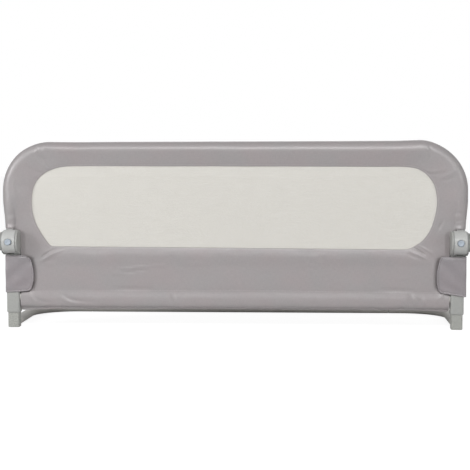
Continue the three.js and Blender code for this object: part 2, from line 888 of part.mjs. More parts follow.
// The net stands for a fine mesh: a sheet with even rows of gaps inside its sewn margin
function meshWindow() {
  const [front, back] = [-panelForward - netWall / 2, netWall / 2 - panelForward];
  const edge = windowShape(0).getPoints(arcSegments);
  const halfAt = (height) => distanceTo(edge, new THREE.Vector2(0, height), new THREE.Vector2(1, 0));
  const pitchX = (2 * windowHalfWidth) / netColumns;
  const pitchZ = (windowTop - windowBottom) / netRows;
  const leastGapShare = 0.3;
  const gaps = [];
  for (let row = 0; row < netRows; row += 1) {
    const low = windowBottom + pitchZ * row + netStrand / 2;
    const high = low + pitchZ - netStrand;
    const reach = Math.min(halfAt(low), halfAt(high)) - leastGapShare * pitchX;
    for (let column = 0; column < netColumns; column += 1) {
      const left = pitchX * column - windowHalfWidth + netStrand / 2;
      const right = left + pitchX - netStrand;
      if (Math.max(left, -right) > reach) continue;
      const near = new THREE.Vector3(left, front - overrun, low);
      gaps.push(block(near, new THREE.Vector3(right, back + overrun, high)));
    }
  }
  const clearance = prismY(windowShape(-netStrand / 2), front - overrun, back + overrun);
  return cut(prismY(windowShape(netMargin), front, back), join(...gaps).intersect(clearance));
}

// The places where the cover's section is set: up the left side, over the top and down the right
function coverStations(extra) {
  const [left, right] = [-uprightX, uprightX].map((x) => new THREE.Vector3(x, 0, 0));
  const [topLeft, topRight] = [left, right].map((low) => low.clone().setZ(railHeight));
  const riseShares = [0, 0.09, 0.18, gatherShare, 0.42, 0.6, 0.8];
  const heights = riseShares.map((share) => THREE.MathUtils.lerp(cuffBottom, bendStart, share));
  if (extra > 0) heights.unshift(cuffBottom - extra);
  const rising = heights.map((height) => straightStation(left, topLeft, height));
  const falling = heights.map((height) => straightStation(topRight, right, railHeight - height));
  const cornerShares = [0.5, 0];
  const cornerX = cornerShares.map((share) => THREE.MathUtils.lerp(windowTopHalf, uprightX - railBendRadius, share));
  const over = [...cornerX.map((x) => -x), ...cornerX.toReversed()];
  return [
    ...rising,
    ...bend(left, topLeft, topRight, railBendRadius),
    ...over.map((x) => straightStation(topLeft, topRight, uprightX + x)),
    ...bend(topLeft, topRight, right, railBendRadius),
    ...falling.reverse(),
  ];
}

// A section of the cover: an arc round the padding, and two sheets that close in on the window's edge
function coverSection(radius, tips, tipWall, fullness) {
  const [front, rear] = [panelForward + tipWall / 2, panelForward - tipWall / 2];
  const endAngle = (forward) => {
    const flat = Math.asin(forward / radius);
    const tangent = Math.atan2(forward, tips[0]) + Math.acos(radius / Math.hypot(tips[0], forward));
    return Math.PI - THREE.MathUtils.lerp(flat, tangent, fullness);
  };
  const section = [];
  for (let i = 0; i <= tubeSides; i += 1) {
    const angle = THREE.MathUtils.lerp(endAngle(-rear), -endAngle(front), i / tubeSides);
    section.push(new THREE.Vector2(-radius * Math.cos(angle), radius * Math.sin(angle)));
  }
  section.push(...tips.map((tip) => new THREE.Vector2(tip, -front)));
  section.push(...tips.toReversed().map((tip) => new THREE.Vector2(tip, -rear)));
  return section;
}

// Lofts a section along the frame, from its height and its distance to the window's edge
function alongFrame(extra, sectionAt) {
  const edge = windowShape(0).getPoints(arcSegments);
  const stations = coverStations(extra).map(({ point, tangent }) => {
    const inward = new THREE.Vector3(tangent.z, 0, -tangent.x);
    const reach = distanceTo(edge, new THREE.Vector2(point.x, point.z), new THREE.Vector2(inward.x, inward.z));
    return { point, inward, reach };
  });
  const sections = stations.map(({ point, reach }) => sectionAt(point.z, reach));
  const placed = (place, i) => {
    const { point, inward } = stations[i];
    return point.clone().addScaledVector(inward, place.x).setY(place.y);
  };
  return loft(sections, placed);
}

// Outside and inside of the padded edge, which draws in to a cuff above each hinge
function paddedEdge() {
  const gatherTop = THREE.MathUtils.lerp(cuffBottom, bendStart, gatherShare);
  const cuffBore = socketRadius + cuffEase;
  const boreAt = (height) => {
    return THREE.MathUtils.lerp(cuffBore, sleeveBore, THREE.MathUtils.smoothstep(height, cuffBottom, gatherTop));
  };
  const fullnessAt = (height) => THREE.MathUtils.smoothstep(height, cuffBottom, bendStart);
  const outside = alongFrame(0, (height, reach) => {
    const tips = [reach - windowHem, reach + overrun];
    return coverSection(boreAt(height) + coverWall, tips, panelWall, fullnessAt(height));
  });
  const inside = alongFrame(overrun, (height, reach) => {
    const tip = THREE.MathUtils.lerp(boreAt(height), reach - windowHem, fullnessAt(height));
    return coverSection(boreAt(height), [tip], panelWall - 2 * coverWall, fullnessAt(height));
  });
  return { outside, inside };
}

// The flat panel under the window, curved where it meets each cuff
function windowSillOutline() {
  const meet = uprightX - sleeveBore;
  const curveBottom = hingeHeight + curveRise;
  const shape = new THREE.Shape();
  shape.moveTo(-panelTopEdgeX, splitHeight + seatGap);
  shape.lineTo(panelTopEdgeX, splitHeight + seatGap);
  shape.lineTo(panelTopEdgeX, curveBottom);
  shape.quadraticCurveTo(panelTopEdgeX, cuffBottom, meet, cuffBottom);
  shape.lineTo(meet, cuffBottom + overrun);
  shape.lineTo(-meet, cuffBottom + overrun);
  shape.lineTo(-meet, cuffBottom);
  shape.quadraticCurveTo(-panelTopEdgeX, cuffBottom, -panelTopEdgeX, curveBottom);
  return shape;
}

function upperCover() {
  const [front, back] = [-panelForward - panelWall / 2, panelWall / 2 - panelForward];
  const { outside, inside } = paddedEdge();
  const sill = prismY(windowSillOutline(), front, back);
  const opening = prismY(windowShape(0), front - overrun, back + overrun);
  const slotHalf = netWall / 2 + seatGap;
  const netSlot = prismY(windowShape(netMargin + seatGap), -panelForward - slotHalf, slotHalf - panelForward);
  return cut(join(sill, outside), inside, netSlot, opening);
}

// The lower panel with a soft tuck across it, the pocket round the bar and the hem below
function lowerCover() {
  const tuckShares = [-1, -0.5, 0, 0.5, 1];
  const top = splitHeight - seatGap;
  const tuckHeight = splitHeight - tuckDrop;
  const line = [[-panelForward, barHeight], [-panelForward, tuckHeight - 2 * tuckReach]];
  for (const share of tuckShares) {
    const depth = (tuckDepth * (1 + Math.cos(Math.PI * share))) / 2;
    line.push([depth - panelForward, tuckHeight + share * tuckReach]);
  }
  line.push([-panelForward, top]);
  const half = panelWall / 2;
  const forward = line.map(([y, z]) => [y - half, z]);
  const backward = line.map(([y, z]) => [y + half, z]).reverse();
  const panel = prismX(polygon(...forward, ...backward), -panelLowEdgeX, panelLowEdgeX);
  const hemBack = panelWall - hemForward;
  const hemBottom = barHeight - hemDrop;
  const hemLine = polygon([-hemForward, hemBottom], [hemBack, hemBottom], [hemBack, barHeight], [-hemForward, barHeight]);
  const hem = prismX(hemLine, -panelLowEdgeX, panelLowEdgeX);
  const reliefFloor = headBottom - reliefDrop;
  const relief = new THREE.Shape();
  relief.moveTo(panelTopEdgeX, splitHeight + overrun);
  relief.lineTo(panelTopEdgeX, reliefFloor + reliefRound);
  relief.quadraticCurveTo(panelTopEdgeX, reliefFloor, panelTopEdgeX + reliefRound, reliefFloor);
  relief.lineTo(uprightX, reliefFloor);
  relief.lineTo(uprightX, splitHeight + overrun);
  const rightRelief = prismY(relief, -hingeForward, hingeForward);
  const leftRelief = rightRelief.mirror([1, 0, 0]);
  const bore = tubeRadius + seatGap;
  const tubeAcross = [rod(pocketRadius, -panelLowEdgeX, panelLowEdgeX), rod(bore, -uprightX, uprightX)];
  const [pocket, hole] = tubeAcross.map((profile) => turnX(profile, roundSides).translate(0, 0, barHeight));
  return cut(join(panel, hem, pocket), hole, rightRelief, leftRelief);
}

// Naming and placing
function piece(name, body, finish) {
  const mesh = new THREE.Mesh(geometryOf(body), new THREE.MeshStandardMaterial(finishes[finish]));
  mesh.name = name;
  return mesh;
}

// The pieces of one side, built for the right and mirrored for the left
function sidePieces(side, sign) {
  const own = (body) => (sign > 0 ? body : solid(geometryOf(body).scale(-1, 1, 1)));
  const add = (group, name, body, finish) => {
    const mesh = piece(`${side}_${name}`, own(body), finish);
    group.add(mesh);
    return mesh;
  };
  const upright = new THREE.Group();
  upright.position.set(sign * uprightX, 0, 0);
  add(upright, "base_arm", baseArm(), "paintedTube");
  add(upright, "leg_casing", legCasing(), "casing");
  add(upright, "leg_flap", legFlap(), "flap");
  add(upright, "upper_tube", upperTube(), "paintedTube");
  add(upright, "foam", sideFoam(), "foam");

  const post = new THREE.Group();
  post.position.set(sign * legX, 0, 0);
  add(post, "foot", foot(), "foot");
  const footScrew = add(post, "foot_screw", screw(footScrewLength), "steel");
  footScrew.position.set(0, footWidth / 2 + seatGap, legBottom + postGrip / 2);

  const hinge = new THREE.Group();
  hinge.position.set(0, -hingeForward, hingeHeight);
  const knuckle = wholeKnuckle();
  add(hinge, "knuckle", knuckleHalf(knuckle, 1), "knuckle");
  add(hinge, "knuckle_front", knuckleHalf(knuckle, -1), "knuckle");
  add(hinge, "hinge_cap", hingeCap(), "casing");
  add(hinge, "pivot_pin", pivotPin(), "steel");
  add(hinge, "lock_hub", lockHub(), "steel");
  add(hinge, "lock_slider", lockSlider(), "steel");
  add(hinge, "button", releaseButton(), "button");
  add(hinge, "button_spring", returnSpring(), "steel");
  const tubeScrew = add(hinge, "tube_screw", screw(tubeScrewLength), "steel");
  tubeScrew.position.set(0, hingeForward + foamBore, screwHeight - hingeHeight);

  upright.add(post, hinge);
  return upright;
}

function guardRail() {
  const rail = new THREE.Group();
  const front = -hingeForward - barrelRadius - buttonStand;
  const rear = baseDepth + tubeRadius;
  rail.position.set(0, -(front + rear) / 2, 0);
  for (const [side, sign] of [["left", -1], ["right", 1]]) {
    rail.add(sidePieces(side, sign));
  }
  const crossTube = piece("base_cross_tube", pluggedTube(baseJointX), "paintedTube");
  crossTube.position.set(0, baseDepth, baseHeight);
  const topTube = piece("top_tube", pluggedTube(topJointX), "paintedTube");
  topTube.position.set(0, 0, railHeight);
  const topFoam = piece("top_foam", straightPipe(foamRadius, foamBore, topJointX - seatGap), "foam");
  topFoam.position.set(0, 0, railHeight);
  const barHalf = armX - legWidth / 2 + barGrip;
  const crossBar = piece("lower_cross_bar", straightPipe(tubeRadius, tubeBore, barHalf), "paintedTube");
  crossBar.position.set(0, 0, barHeight);
  rail.add(crossTube, topTube, topFoam, crossBar);
  rail.add(piece("cover_upper", upperCover(), "fabric"));
  rail.add(piece("cover_lower", lowerCover(), "fabric"));
  rail.add(piece("mesh_window", meshWindow(), "net"));
  return rail;
}

export default guardRail();
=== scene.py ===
"""Folding bed guard rail: the looks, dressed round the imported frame.

Lengths are in metres. X runs along the rail, -Y faces the room, +Y goes under the
mattress and +Z is up.
"""

import logging
import math
from collections.abc import Iterable, Sequence
from dataclasses import dataclass, field
from enum import Enum

import bpy
import numpy as np
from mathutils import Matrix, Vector, noise
from mathutils.bvhtree import BVHTree


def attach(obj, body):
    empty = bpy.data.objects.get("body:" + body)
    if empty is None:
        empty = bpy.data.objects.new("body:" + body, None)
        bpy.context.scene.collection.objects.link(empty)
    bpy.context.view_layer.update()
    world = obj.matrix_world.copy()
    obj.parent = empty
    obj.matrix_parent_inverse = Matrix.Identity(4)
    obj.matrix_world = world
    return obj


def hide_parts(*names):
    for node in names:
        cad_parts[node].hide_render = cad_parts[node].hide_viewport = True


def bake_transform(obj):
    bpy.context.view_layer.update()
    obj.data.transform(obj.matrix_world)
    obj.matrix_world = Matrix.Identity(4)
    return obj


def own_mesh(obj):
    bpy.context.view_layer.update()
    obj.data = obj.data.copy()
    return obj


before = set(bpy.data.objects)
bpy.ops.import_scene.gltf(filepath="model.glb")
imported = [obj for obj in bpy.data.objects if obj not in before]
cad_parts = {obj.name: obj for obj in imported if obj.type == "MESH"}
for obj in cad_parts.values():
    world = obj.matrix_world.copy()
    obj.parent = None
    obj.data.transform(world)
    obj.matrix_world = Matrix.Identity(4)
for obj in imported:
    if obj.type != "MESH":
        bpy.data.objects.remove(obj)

LOG = logging.getLogger("guard_rail")
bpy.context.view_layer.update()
MM = 0.001
SIDES = {"left": -1, "right": 1}
LOWER, UPPER = "lower_frame", "upper_frame"

Pair = tuple[float, float]
Triple = tuple[float, float, float]
Line = tuple[Pair, ...]
Colour = Triple
Array = np.ndarray
Piece = bpy.types.Object


def from_srgb(red: float, green: float, blue: float) -> Colour:
    """Turns a colour of 0 to 255 a channel into the linear values that shaders use."""
    shares = (red / 255, green / 255, blue / 255)
    return tuple(s / 12.92 if s <= 0.04045 else ((s + 0.055) / 1.055) ** 2.4 for s in shares)


def tinted(colour: Colour, *shares: float) -> Colour:
    """Gives a colour times one share, or times a share for each channel, held at 1."""
    return tuple(min(c * k, 1.0) for c, k in zip(colour, shares * 3))


def smooth(value: Array | float, low: float, high: float) -> Array | float:
    """Gives 0 below low and 1 above high, with an even slope between."""
    share = np.clip((value - low) / (high - low), 0, 1)
    return share * share * (3 - 2 * share)


def hump(value: Array, rise: Pair, fall: Pair) -> Array:
    """Gives 1 between a rising slope and a falling one, and 0 outside them."""
    return smooth(value, *rise) * (1 - smooth(value, *fall))


# Shader graph
class Signal:
    """The output socket of a shader node, with arithmetic that adds Math nodes."""

    def __init__(self, recipe: "Recipe", socket: bpy.types.NodeSocket) -> None:
        """Wraps a socket of a recipe's node tree."""
        self.recipe = recipe
        self.socket = socket

    def maths(self, operation: str, *others: "Signal | float") -> "Signal":
        """Adds one Math node that starts with this signal."""
        values = dict(enumerate((self, *others)))
        return self.recipe.node("ShaderNodeMath", {"operation": operation}, values)

    def __add__(self, other: "Signal | float") -> "Signal":
        """Adds a signal or a number."""
        return self.maths("ADD", other)

    def __mul__(self, other: "Signal | float") -> "Signal":
        """Multiplies by a signal or a number."""
        return self.maths("MULTIPLY", other)

    def __sub__(self, other: "Signal | float") -> "Signal":
        """Subtracts a signal or a number."""
        return self.maths("SUBTRACT", other)

    def __rsub__(self, other: float) -> "Signal":
        """Subtracts this signal from a number."""
        return self.recipe.node("ShaderNodeMath", {"operation": "SUBTRACT"}, {0: other, 1: self})


    __radd__ = __add__
    __rmul__ = __mul__

    def sine(self) -> "Signal":
        """Gives the sine of this signal, in radians."""
        return self.maths("SINE")

    def ramp(self, low: float, high: float, to_low: float = 0.0, to_high: float = 1.0) -> "Signal":
        """Maps this signal from one span to another, and holds it at the ends."""
        values = {"From Min": low, "From Max": high, "To Min": to_low, "To Max": to_high}
        return self.recipe.node("ShaderNodeMapRange", {"clamp": True}, {"Value": self, **values})


class Recipe:
    """The node tree of one finish, or of the surround."""

    def __init__(self, owner: bpy.types.Material | bpy.types.World) -> None:
        """Starts with an empty node tree in a material or a world.

        Args:
            owner: The material or world.
        """
        owner.use_nodes = True
        self.owner = owner
        self.tree = owner.node_tree
        self.tree.nodes.clear()

    @classmethod
    def named(cls, name: str) -> "Recipe":
        """Starts a new material."""
        return cls(bpy.data.materials.new(name))

    def node(
        self,
        kind: str,
        settings: dict[str, object] | None = None,
        inputs: dict[str | int, object] | None = None,
        output: str | int = 0,
    ) -> Signal:
        """Adds one node: its settings first, then the values or links of its sockets.

        Args:
            kind: The node's type.
            settings: Properties of the node. "stops" sets a colour ramp's stops.
            inputs: A value or a Signal for each socket, by name or by number.
            output: The output socket to return.

        Returns:
            The chosen output as a signal.
        """
        made = self.tree.nodes.new(kind)
        for key, value in (settings or {}).items():
            if key == "stops":
                self._set_stops(made.color_ramp, value)
            else:
                setattr(made, key, value)
        for key, value in (inputs or {}).items():
            if isinstance(value, Signal):
                self.tree.links.new(value.socket, made.inputs[key])
            else:
                made.inputs[key].default_value = value
        return Signal(self, made.outputs[output]) if made.outputs else Signal(self, None)

    @staticmethod
    def _set_stops(ramp: bpy.types.ColorRamp, stops: Sequence[tuple[float, Colour]]) -> None:
        """Gives a colour ramp its stops, each a place and a colour.

        Args:
            ramp: The ramp.
            stops: Its stops.
        """
        while len(ramp.elements) < len(stops):
            ramp.elements.new(1.0)
        for element, (place, colour) in zip(ramp.elements, stops):
            element.position = place
            element.color = (*colour, 1.0)

    def cut_place(self, scale: Sequence[float] = (1, 1, 1)) -> Signal:
        """Gives the place on the cut cloth, in metres, times a scale."""
        cut = self.node("ShaderNodeUVMap", {"uv_map": CUT_MAP})
        return self.node("ShaderNodeMapping", None, {"Vector": cut, "Scale": scale})

    def solid_place(self) -> Signal:
        """Gives the place in the rail's own space, in metres."""
        return self.node("ShaderNodeTexCoord", output="Object")

    def parts(self, vector: Signal) -> tuple[Signal, Signal, Signal]:
        """Splits a vector into its three values.

        Args:
            vector: The vector.

        Returns:
            Its x, y and z.
        """
        split = self.node("ShaderNodeSeparateXYZ", None, {0: vector})
        outputs = split.socket.node.outputs
        return tuple(Signal(self, outputs[i]) for i in range(3))

    def cloud(self, place: Signal, size: float, detail: float = 2.0, rough: float = 0.5) -> Signal:
        """Gives soft noise from 0 to 1 whose blotches have about the given size."""
        values = {"Vector": place, "Scale": 1 / size, "Detail": detail, "Roughness": rough}
        return self.node("ShaderNodeTexNoise", None, values)

    def mix(self, share: Signal | float, first: object, second: object) -> Signal:
        """Mixes two colours by a share."""
        values = {0: share, 6: self._rgba(first), 7: self._rgba(second)}
        return self.node("ShaderNodeMix", {"data_type": "RGBA"}, values, 2)

    @staticmethod
    def _rgba(value: object) -> object:
        """Gives a plain colour its alpha, and leaves a signal as it is."""
        return value if isinstance(value, Signal) else (*value, 1.0)

    def bump(
        self, height: Signal, distance: float, strength: float = 1.0, base: Signal | None = None,
    ) -> Signal:
        """Turns a height from 0 to 1 into a normal.

        Args:
            height: The height signal.
            distance: The depth of the relief, in metres.
            strength: How much of it is used.
            base: A normal to build on.

        Returns:
            The new normal.
        """
        values = {"Height": height, "Distance": distance, "Strength": strength}
        if base is not None:
            values["Normal"] = base
        return self.node("ShaderNodeBump", None, values)

    def finish(self, **sockets: object) -> bpy.types.Material:
        """Closes the recipe with a principled surface.

        Args:
            sockets: Values or signals, by socket name with underscores for spaces.

        Returns:
            The finished material.
        """
        values = {}
        for key, value in sockets.items():
            name = key.replace("_", " ").title().replace("Ior", "IOR")
            values[name] = (*value, 1.0) if isinstance(value, tuple) and len(value) == 3 else value
        surface = self.node("ShaderNodeBsdfPrincipled", None, values)
        self.node("ShaderNodeOutputMaterial", None, {"Surface": surface})
        return self.owner


CUT_MAP = "cut"


# Finishes
@dataclass(frozen=True)
class WovenCloth:
    """Plain woven polyester with a heathered yarn and a faint crinkle."""

    name: str
    colour: Colour
    yarn: float = 0.8 * MM
    crinkle: float = 0.35 * MM
    slub: float = 1.6 * MM
    slub_stretch: float = 0.18
    heather: float = 0.3
    dye_blotch: float = 70 * MM
    rumple: float = 26 * MM
    crease: float = 9 * MM

    def make(self) -> bpy.types.Material:
        """Builds the cloth's material.

        Returns:
            The material.
        """
        recipe = Recipe.named(self.name)
        place = recipe.cut_place()
        u, v, _ = recipe.parts(place)
        turn = 2 * math.pi / self.yarn
        weave = (u * turn).sine() * (v * turn).sine() * 0.5 + 0.5
        return recipe.finish(
            base_color=self._colour(recipe, place), roughness=weave.ramp(0, 1, 0.41, 0.32),
            normal=recipe.bump(weave, 0.12 * MM, 0.35, self._creases(recipe, place)),
            sheen_weight=0.04, sheen_roughness=0.5, specular_ior_level=1.0,
        )

    def _colour(self, recipe: Recipe, place: Signal) -> Signal:
        """Gives the heathered colour: flecked yarns over an uneven dye.

        Args:
            recipe: The cloth's recipe.
            place: The place on the cut cloth.

        Returns:
            The colour.
        """
        runs = ((1, self.slub_stretch, 1), (self.slub_stretch, 1, 1))
        warp, weft = (recipe.cloud(recipe.cut_place(run), self.slub, 1.0) for run in runs)
        flecks = ((warp + weft) * 0.5).ramp(0.3, 0.7)
        speckled = recipe.mix(flecks, tinted(self.colour, 0.8), tinted(self.colour, 1.2))
        blotch = recipe.cloud(place, self.dye_blotch, 2.0).ramp(0.35, 0.65)
        cool, warm = tinted(self.colour, 0.98, 1.0, 1.005), tinted(self.colour, 1.03, 0.99, 1.0)
        return recipe.mix(self.heather, recipe.mix(blotch, cool, warm), speckled)

    def _creases(self, recipe: Recipe, place: Signal) -> Signal:
        """Gives the normal of the cloth's wide rumples and fine creases.

        Args:
            recipe: The cloth's recipe.
            place: The place on the cut cloth.

        Returns:
            The normal.
        """
        wide = recipe.cloud(recipe.cut_place((0.45, 1, 1)), self.rumple, 1.5, 0.5)
        fine = recipe.cloud(place, self.crease, 3.0, 0.6)
        return recipe.bump(fine, self.crinkle, 0.6, recipe.bump(wide, 2.2 * self.crinkle, 0.6))


@dataclass(frozen=True)
class KnitNet:
    """Fine knitted net: flat yarns round small holes."""

    name: str
    colour: Colour
    pitch: float = 1.5 * MM
    yarn_share: float = 0.36
    yarn_edge: float = 0.12
    band: float = 5 * MM

    def make(self) -> bpy.types.Material:
        """Builds the net's material.

        Returns:
            The material.
        """
        recipe = Recipe.named(self.name)
        u, v, _ = recipe.parts(recipe.cut_place())
        turn = 2 * math.pi / self.pitch
        hole = (u * turn).sine() * (v * (turn / 2)).sine() * (v * turn).sine()
        thread = hole.ramp(self.yarn_share, self.yarn_share + self.yarn_edge, 1.0, 0.0)
        bands = recipe.cloud(recipe.cut_place((0.12, 1, 1)), self.band, 1.0).ramp(0.35, 0.65)
        return recipe.finish(
            base_color=recipe.mix(bands, tinted(self.colour, 0.98), tinted(self.colour, 1.02)),
            normal=recipe.bump(thread, 0.15 * MM, 0.25),
            roughness=0.75, alpha=thread, sheen_weight=0.08,
        )


@dataclass(frozen=True)
class MouldedPlastic:
    """Moulded plastic with a fine spark-eroded grain and slight rubbing."""

    name: str
    colour: Colour
    roughness: float = 0.45
    grain: float = 0.7 * MM
    grain_depth: float = 0.04 * MM
    speckle: float = 0.05
    coat: float = 0.0
    flow_mark: float = 35 * MM
    rub_mark: float = 9 * MM

    def make(self) -> bpy.types.Material:
        """Builds the plastic's material.

        Returns:
            The material.
        """
        recipe = Recipe.named(self.name)
        place = recipe.solid_place()
        grain = recipe.cloud(place, self.grain, 2.0, 0.6)
        dark, pale = tinted(self.colour, 1 - self.speckle), tinted(self.colour, 1 + self.speckle)
        speckled = recipe.mix(grain.ramp(0.35, 0.65), dark, pale)
        flow = recipe.cloud(place, self.flow_mark, 2.0).ramp(0.3, 0.7, 0.0, 0.5)
        rub = recipe.cloud(place, self.rub_mark, 3.0, 0.65)
        return recipe.finish(
            base_color=recipe.mix(flow, speckled, self.colour),
            roughness=rub.ramp(0.4, 0.7, self.roughness + 0.05, self.roughness - 0.08),
            normal=recipe.bump(grain, self.grain_depth, 0.6),
            coat_weight=self.coat, coat_roughness=0.2,
        )


@dataclass(frozen=True)
class PaintedSteel:
    """Satin powder coat on steel tube, with its faint orange peel."""

    name: str
    colour: Colour
    roughness: float = 0.42
    peel: float = 2.2 * MM
    dust: float = 45 * MM

    def make(self) -> bpy.types.Material:
        """Builds the paint's material.

        Returns:
            The material.
        """
        recipe = Recipe.named(self.name)
        place = recipe.solid_place()
        peel = recipe.cloud(place, self.peel, 1.0)
        dust = recipe.cloud(place, self.dust, 3.0)
        return recipe.finish(
            base_color=recipe.mix(dust.ramp(0.35, 0.7), tinted(self.colour, 0.94), self.colour),
            roughness=dust.ramp(0.3, 0.7, self.roughness - 0.05, self.roughness + 0.08),
            normal=recipe.bump(peel, 0.05 * MM, 0.4), metallic=0.15,
        )


@dataclass(frozen=True)
class ZincSteel:
    """Zinc plated steel with fine drawn lines."""

    name: str
    colour: Colour
    line: float = 0.5 * MM
    line_stretch: float = 0.06
    haze: float = 6 * MM

    def make(self) -> bpy.types.Material:
        """Builds the steel's material.

        Returns:
            The material.
        """
        recipe = Recipe.named(self.name)
        place = recipe.solid_place()
        values = {"Vector": place, "Scale": (1, 1, self.line_stretch)}
        drawn = recipe.cloud(recipe.node("ShaderNodeMapping", None, values), self.line, 2.0)
        haze = recipe.cloud(place, self.haze, 2.0).ramp(0.35, 0.65)
        return recipe.finish(
            base_color=recipe.mix(haze, tinted(self.colour, 0.85), self.colour),
            roughness=drawn.ramp(0.3, 0.7, 0.28, 0.42),
            normal=recipe.bump(drawn, 0.02 * MM, 0.5), metallic=1.0,
        )


class Finish(Enum):
    """The finishes of the guard rail."""

    COVER = WovenCloth("cover_cloth", from_srgb(160.5, 155, 155.5))
    # The flap's cloth is the cover's cloth made darker: painted shade for the shadow that the hinge
    # casts over the flap.
    FLAP = WovenCloth("flap_cloth_painted_shade", from_srgb(146, 140.5, 143.5))
    THREAD = WovenCloth("sewing_thread", from_srgb(186, 181, 182), 0.3 * MM, 0.05 * MM)
    NET = KnitNet("knit_net", from_srgb(208, 205, 197))
    CASING = MouldedPlastic(
        "casing_plastic", from_srgb(168, 169, 166), 0.46, 1.8 * MM, 0.08 * MM, 0.10)
    FOOT = MouldedPlastic("foot_plastic", from_srgb(168, 169, 164), 0.6, 2.4 * MM, 0.2 * MM, 0.26)
    # The knuckle's plastic is the casing's grey made lighter: painted light for the bright, lit top
    # of the hinge barrel.
    KNUCKLE = MouldedPlastic(
        "knuckle_plastic", from_srgb(190, 191, 189), 0.34, 1.2 * MM, 0.04 * MM, 0.05)
    BUTTON = MouldedPlastic(
        "button_plastic", from_srgb(176, 186, 197), 0.3, 0.5 * MM, 0.01 * MM, 0.02, 0.3)
    PAINT = PaintedSteel("tube_paint", from_srgb(216, 214, 209))
    STEEL = ZincSteel("zinc_steel", from_srgb(200, 200, 203))


_made: dict[Finish, bpy.types.Material] = {}


def dress(piece: Piece, finish: Finish) -> None:
    """Gives a piece its finish, which is built once and shared.

    Args:
        piece: The piece.
        finish: Its finish.
    """
    if finish not in _made:
        _made[finish] = finish.value.make()
    piece.data.materials.clear()
    piece.data.materials.append(_made[finish])


# Camera and studio
@dataclass(frozen=True)
class PhotoCamera:
    """The camera, at the photograph's place and angle."""

    place: Triple = (0.16462, -3.31342, 0.43525)
    lens: float = 104.70
    sensor: float = 36.0
    turn: float = math.radians(2.90)
    dip: float = math.radians(3.88)
    tilt: float = math.radians(0.03)

    def build(self) -> None:
        """Makes the camera and sets it as the scene's."""
        data = bpy.data.cameras.new("photo_camera")
        data.lens, data.sensor_width = self.lens, self.sensor
        data.clip_start, data.clip_end = 0.05, 60.0
        camera = bpy.data.objects.new("photo_camera", data)
        camera.location = self.place
        camera.rotation_euler = (math.pi / 2 - self.dip, self.tilt, self.turn)
        bpy.context.scene.collection.objects.link(camera)
        bpy.context.scene.camera = camera


@dataclass(frozen=True)
class Lamp:
    """One soft lamp."""

    name: str
    place: Triple
    target: Triple
    width: float
    height: float
    power: float

    def build(self) -> None:
        """Makes the lamp and turns it to its target."""
        data = bpy.data.lights.new(self.name, "AREA")
        data.shape, data.size, data.size_y = "RECTANGLE", self.width, self.height
        data.energy = self.power
        lamp = bpy.data.objects.new(self.name, data)
        lamp.location = self.place
        aim = Vector(self.target) - Vector(self.place)
        lamp.rotation_euler = aim.to_track_quat("-Z", "Y").to_euler()
        bpy.context.scene.collection.objects.link(lamp)


@dataclass(frozen=True)
class Studio:
    """A pale floor, a white surround and soft lamps."""

    surround: float = 0.32
    floor_reach: float = 14.0
    floor_share: float = 0.56
    floor_tone: float = 0.66
    floor_glow: float = 1.55
    lamps: tuple[Lamp, ...] = (
        Lamp("left_lamp", (-2.1, -1.35, 0.95), (-0.4, -0.13, 0.25), 0.7, 1.0, 18),
        Lamp("right_lamp", (2.2, -1.6, 0.9), (0.4, -0.13, 0.25), 0.7, 1.0, 8),
        Lamp("front_lamp", (0.1, -3.0, 1.85), (0, -0.13, 0.25), 2.6, 0.4, 51),
        Lamp("rear_lamp", (0.2, 2.2, 1.8), (0, 0.1, 0.1), 2.4, 1.2, 11),
    )

    def build(self) -> None:
        """Makes the surround, the lamps and the floor."""
        bpy.context.scene.view_settings.view_transform = "Standard"
        self._surround()
        for lamp in self.lamps:
            lamp.build()
        self._floor()

    def _seen_directly(self, recipe: Recipe) -> Signal:
        """Gives 1 for rays that show the surround plainly: seen directly or through glass.

        Args:
            recipe: The recipe of the world or the floor.

        Returns:
            The flag as a signal.
        """
        path = recipe.node("ShaderNodeLightPath").socket.node.outputs
        kinds = ("Camera", "Transmission")
        direct, through = (Signal(recipe, path[f"Is {kind} Ray"]) for kind in kinds)
        return 1 - (1 - direct) * (1 - through)

    def _surround(self) -> None:
        """Makes a world that lights softly and looks white."""
        world = bpy.data.worlds.new("surround")
        bpy.context.scene.world = world
        recipe = Recipe(world)
        values = {
            "Color": (1, 1, 1, 1),
            "Strength": self._seen_directly(recipe).ramp(0, 1, self.surround, 1.0),
        }
        glow = recipe.node("ShaderNodeBackground", None, values)
        recipe.node("ShaderNodeOutputWorld", None, {"Surface": glow})

    def _floor(self) -> None:
        """Makes the floor, which keeps the object's shadow and is otherwise white."""
        mesh = bpy.data.meshes.new("studio_floor")
        r = self.floor_reach
        mesh.from_pydata([(-r, -r, 0), (r, -r, 0), (r, r, 0), (-r, r, 0)], [], [(0, 1, 2, 3)])
        floor = bpy.data.objects.new("studio_floor", mesh)
        bpy.context.scene.collection.objects.link(floor)
        recipe = Recipe.named("floor_paint")
        tone = (self.floor_tone, self.floor_tone, self.floor_tone, 1)
        plain = recipe.node("ShaderNodeBsdfDiffuse", None, {"Color": tone})
        light = {"Color": (1, 1, 1, 1), "Strength": self.floor_glow}
        glow = recipe.node("ShaderNodeEmission", None, light)
        share = self._seen_directly(recipe) * self.floor_share
        both = recipe.node("ShaderNodeMixShader", None, {0: share, 1: plain, 2: glow})
        recipe.node("ShaderNodeOutputMaterial", None, {"Surface": both})
        mesh.materials.append(recipe.owner)


# Mesh helpers
def new_piece(name: str, mesh: bpy.types.Mesh) -> Piece:
    """Puts a mesh into the scene as a piece of the rail, with smooth shading.

    Args:
        name: The piece's name.
        mesh: Its mesh.

    Returns:
        The new object.
    """
    piece = bpy.data.objects.new(name, mesh)
    bpy.context.scene.collection.objects.link(piece)
    mesh.polygons.foreach_set("use_smooth", [True] * len(mesh.polygons))
    mesh.update()
    return piece


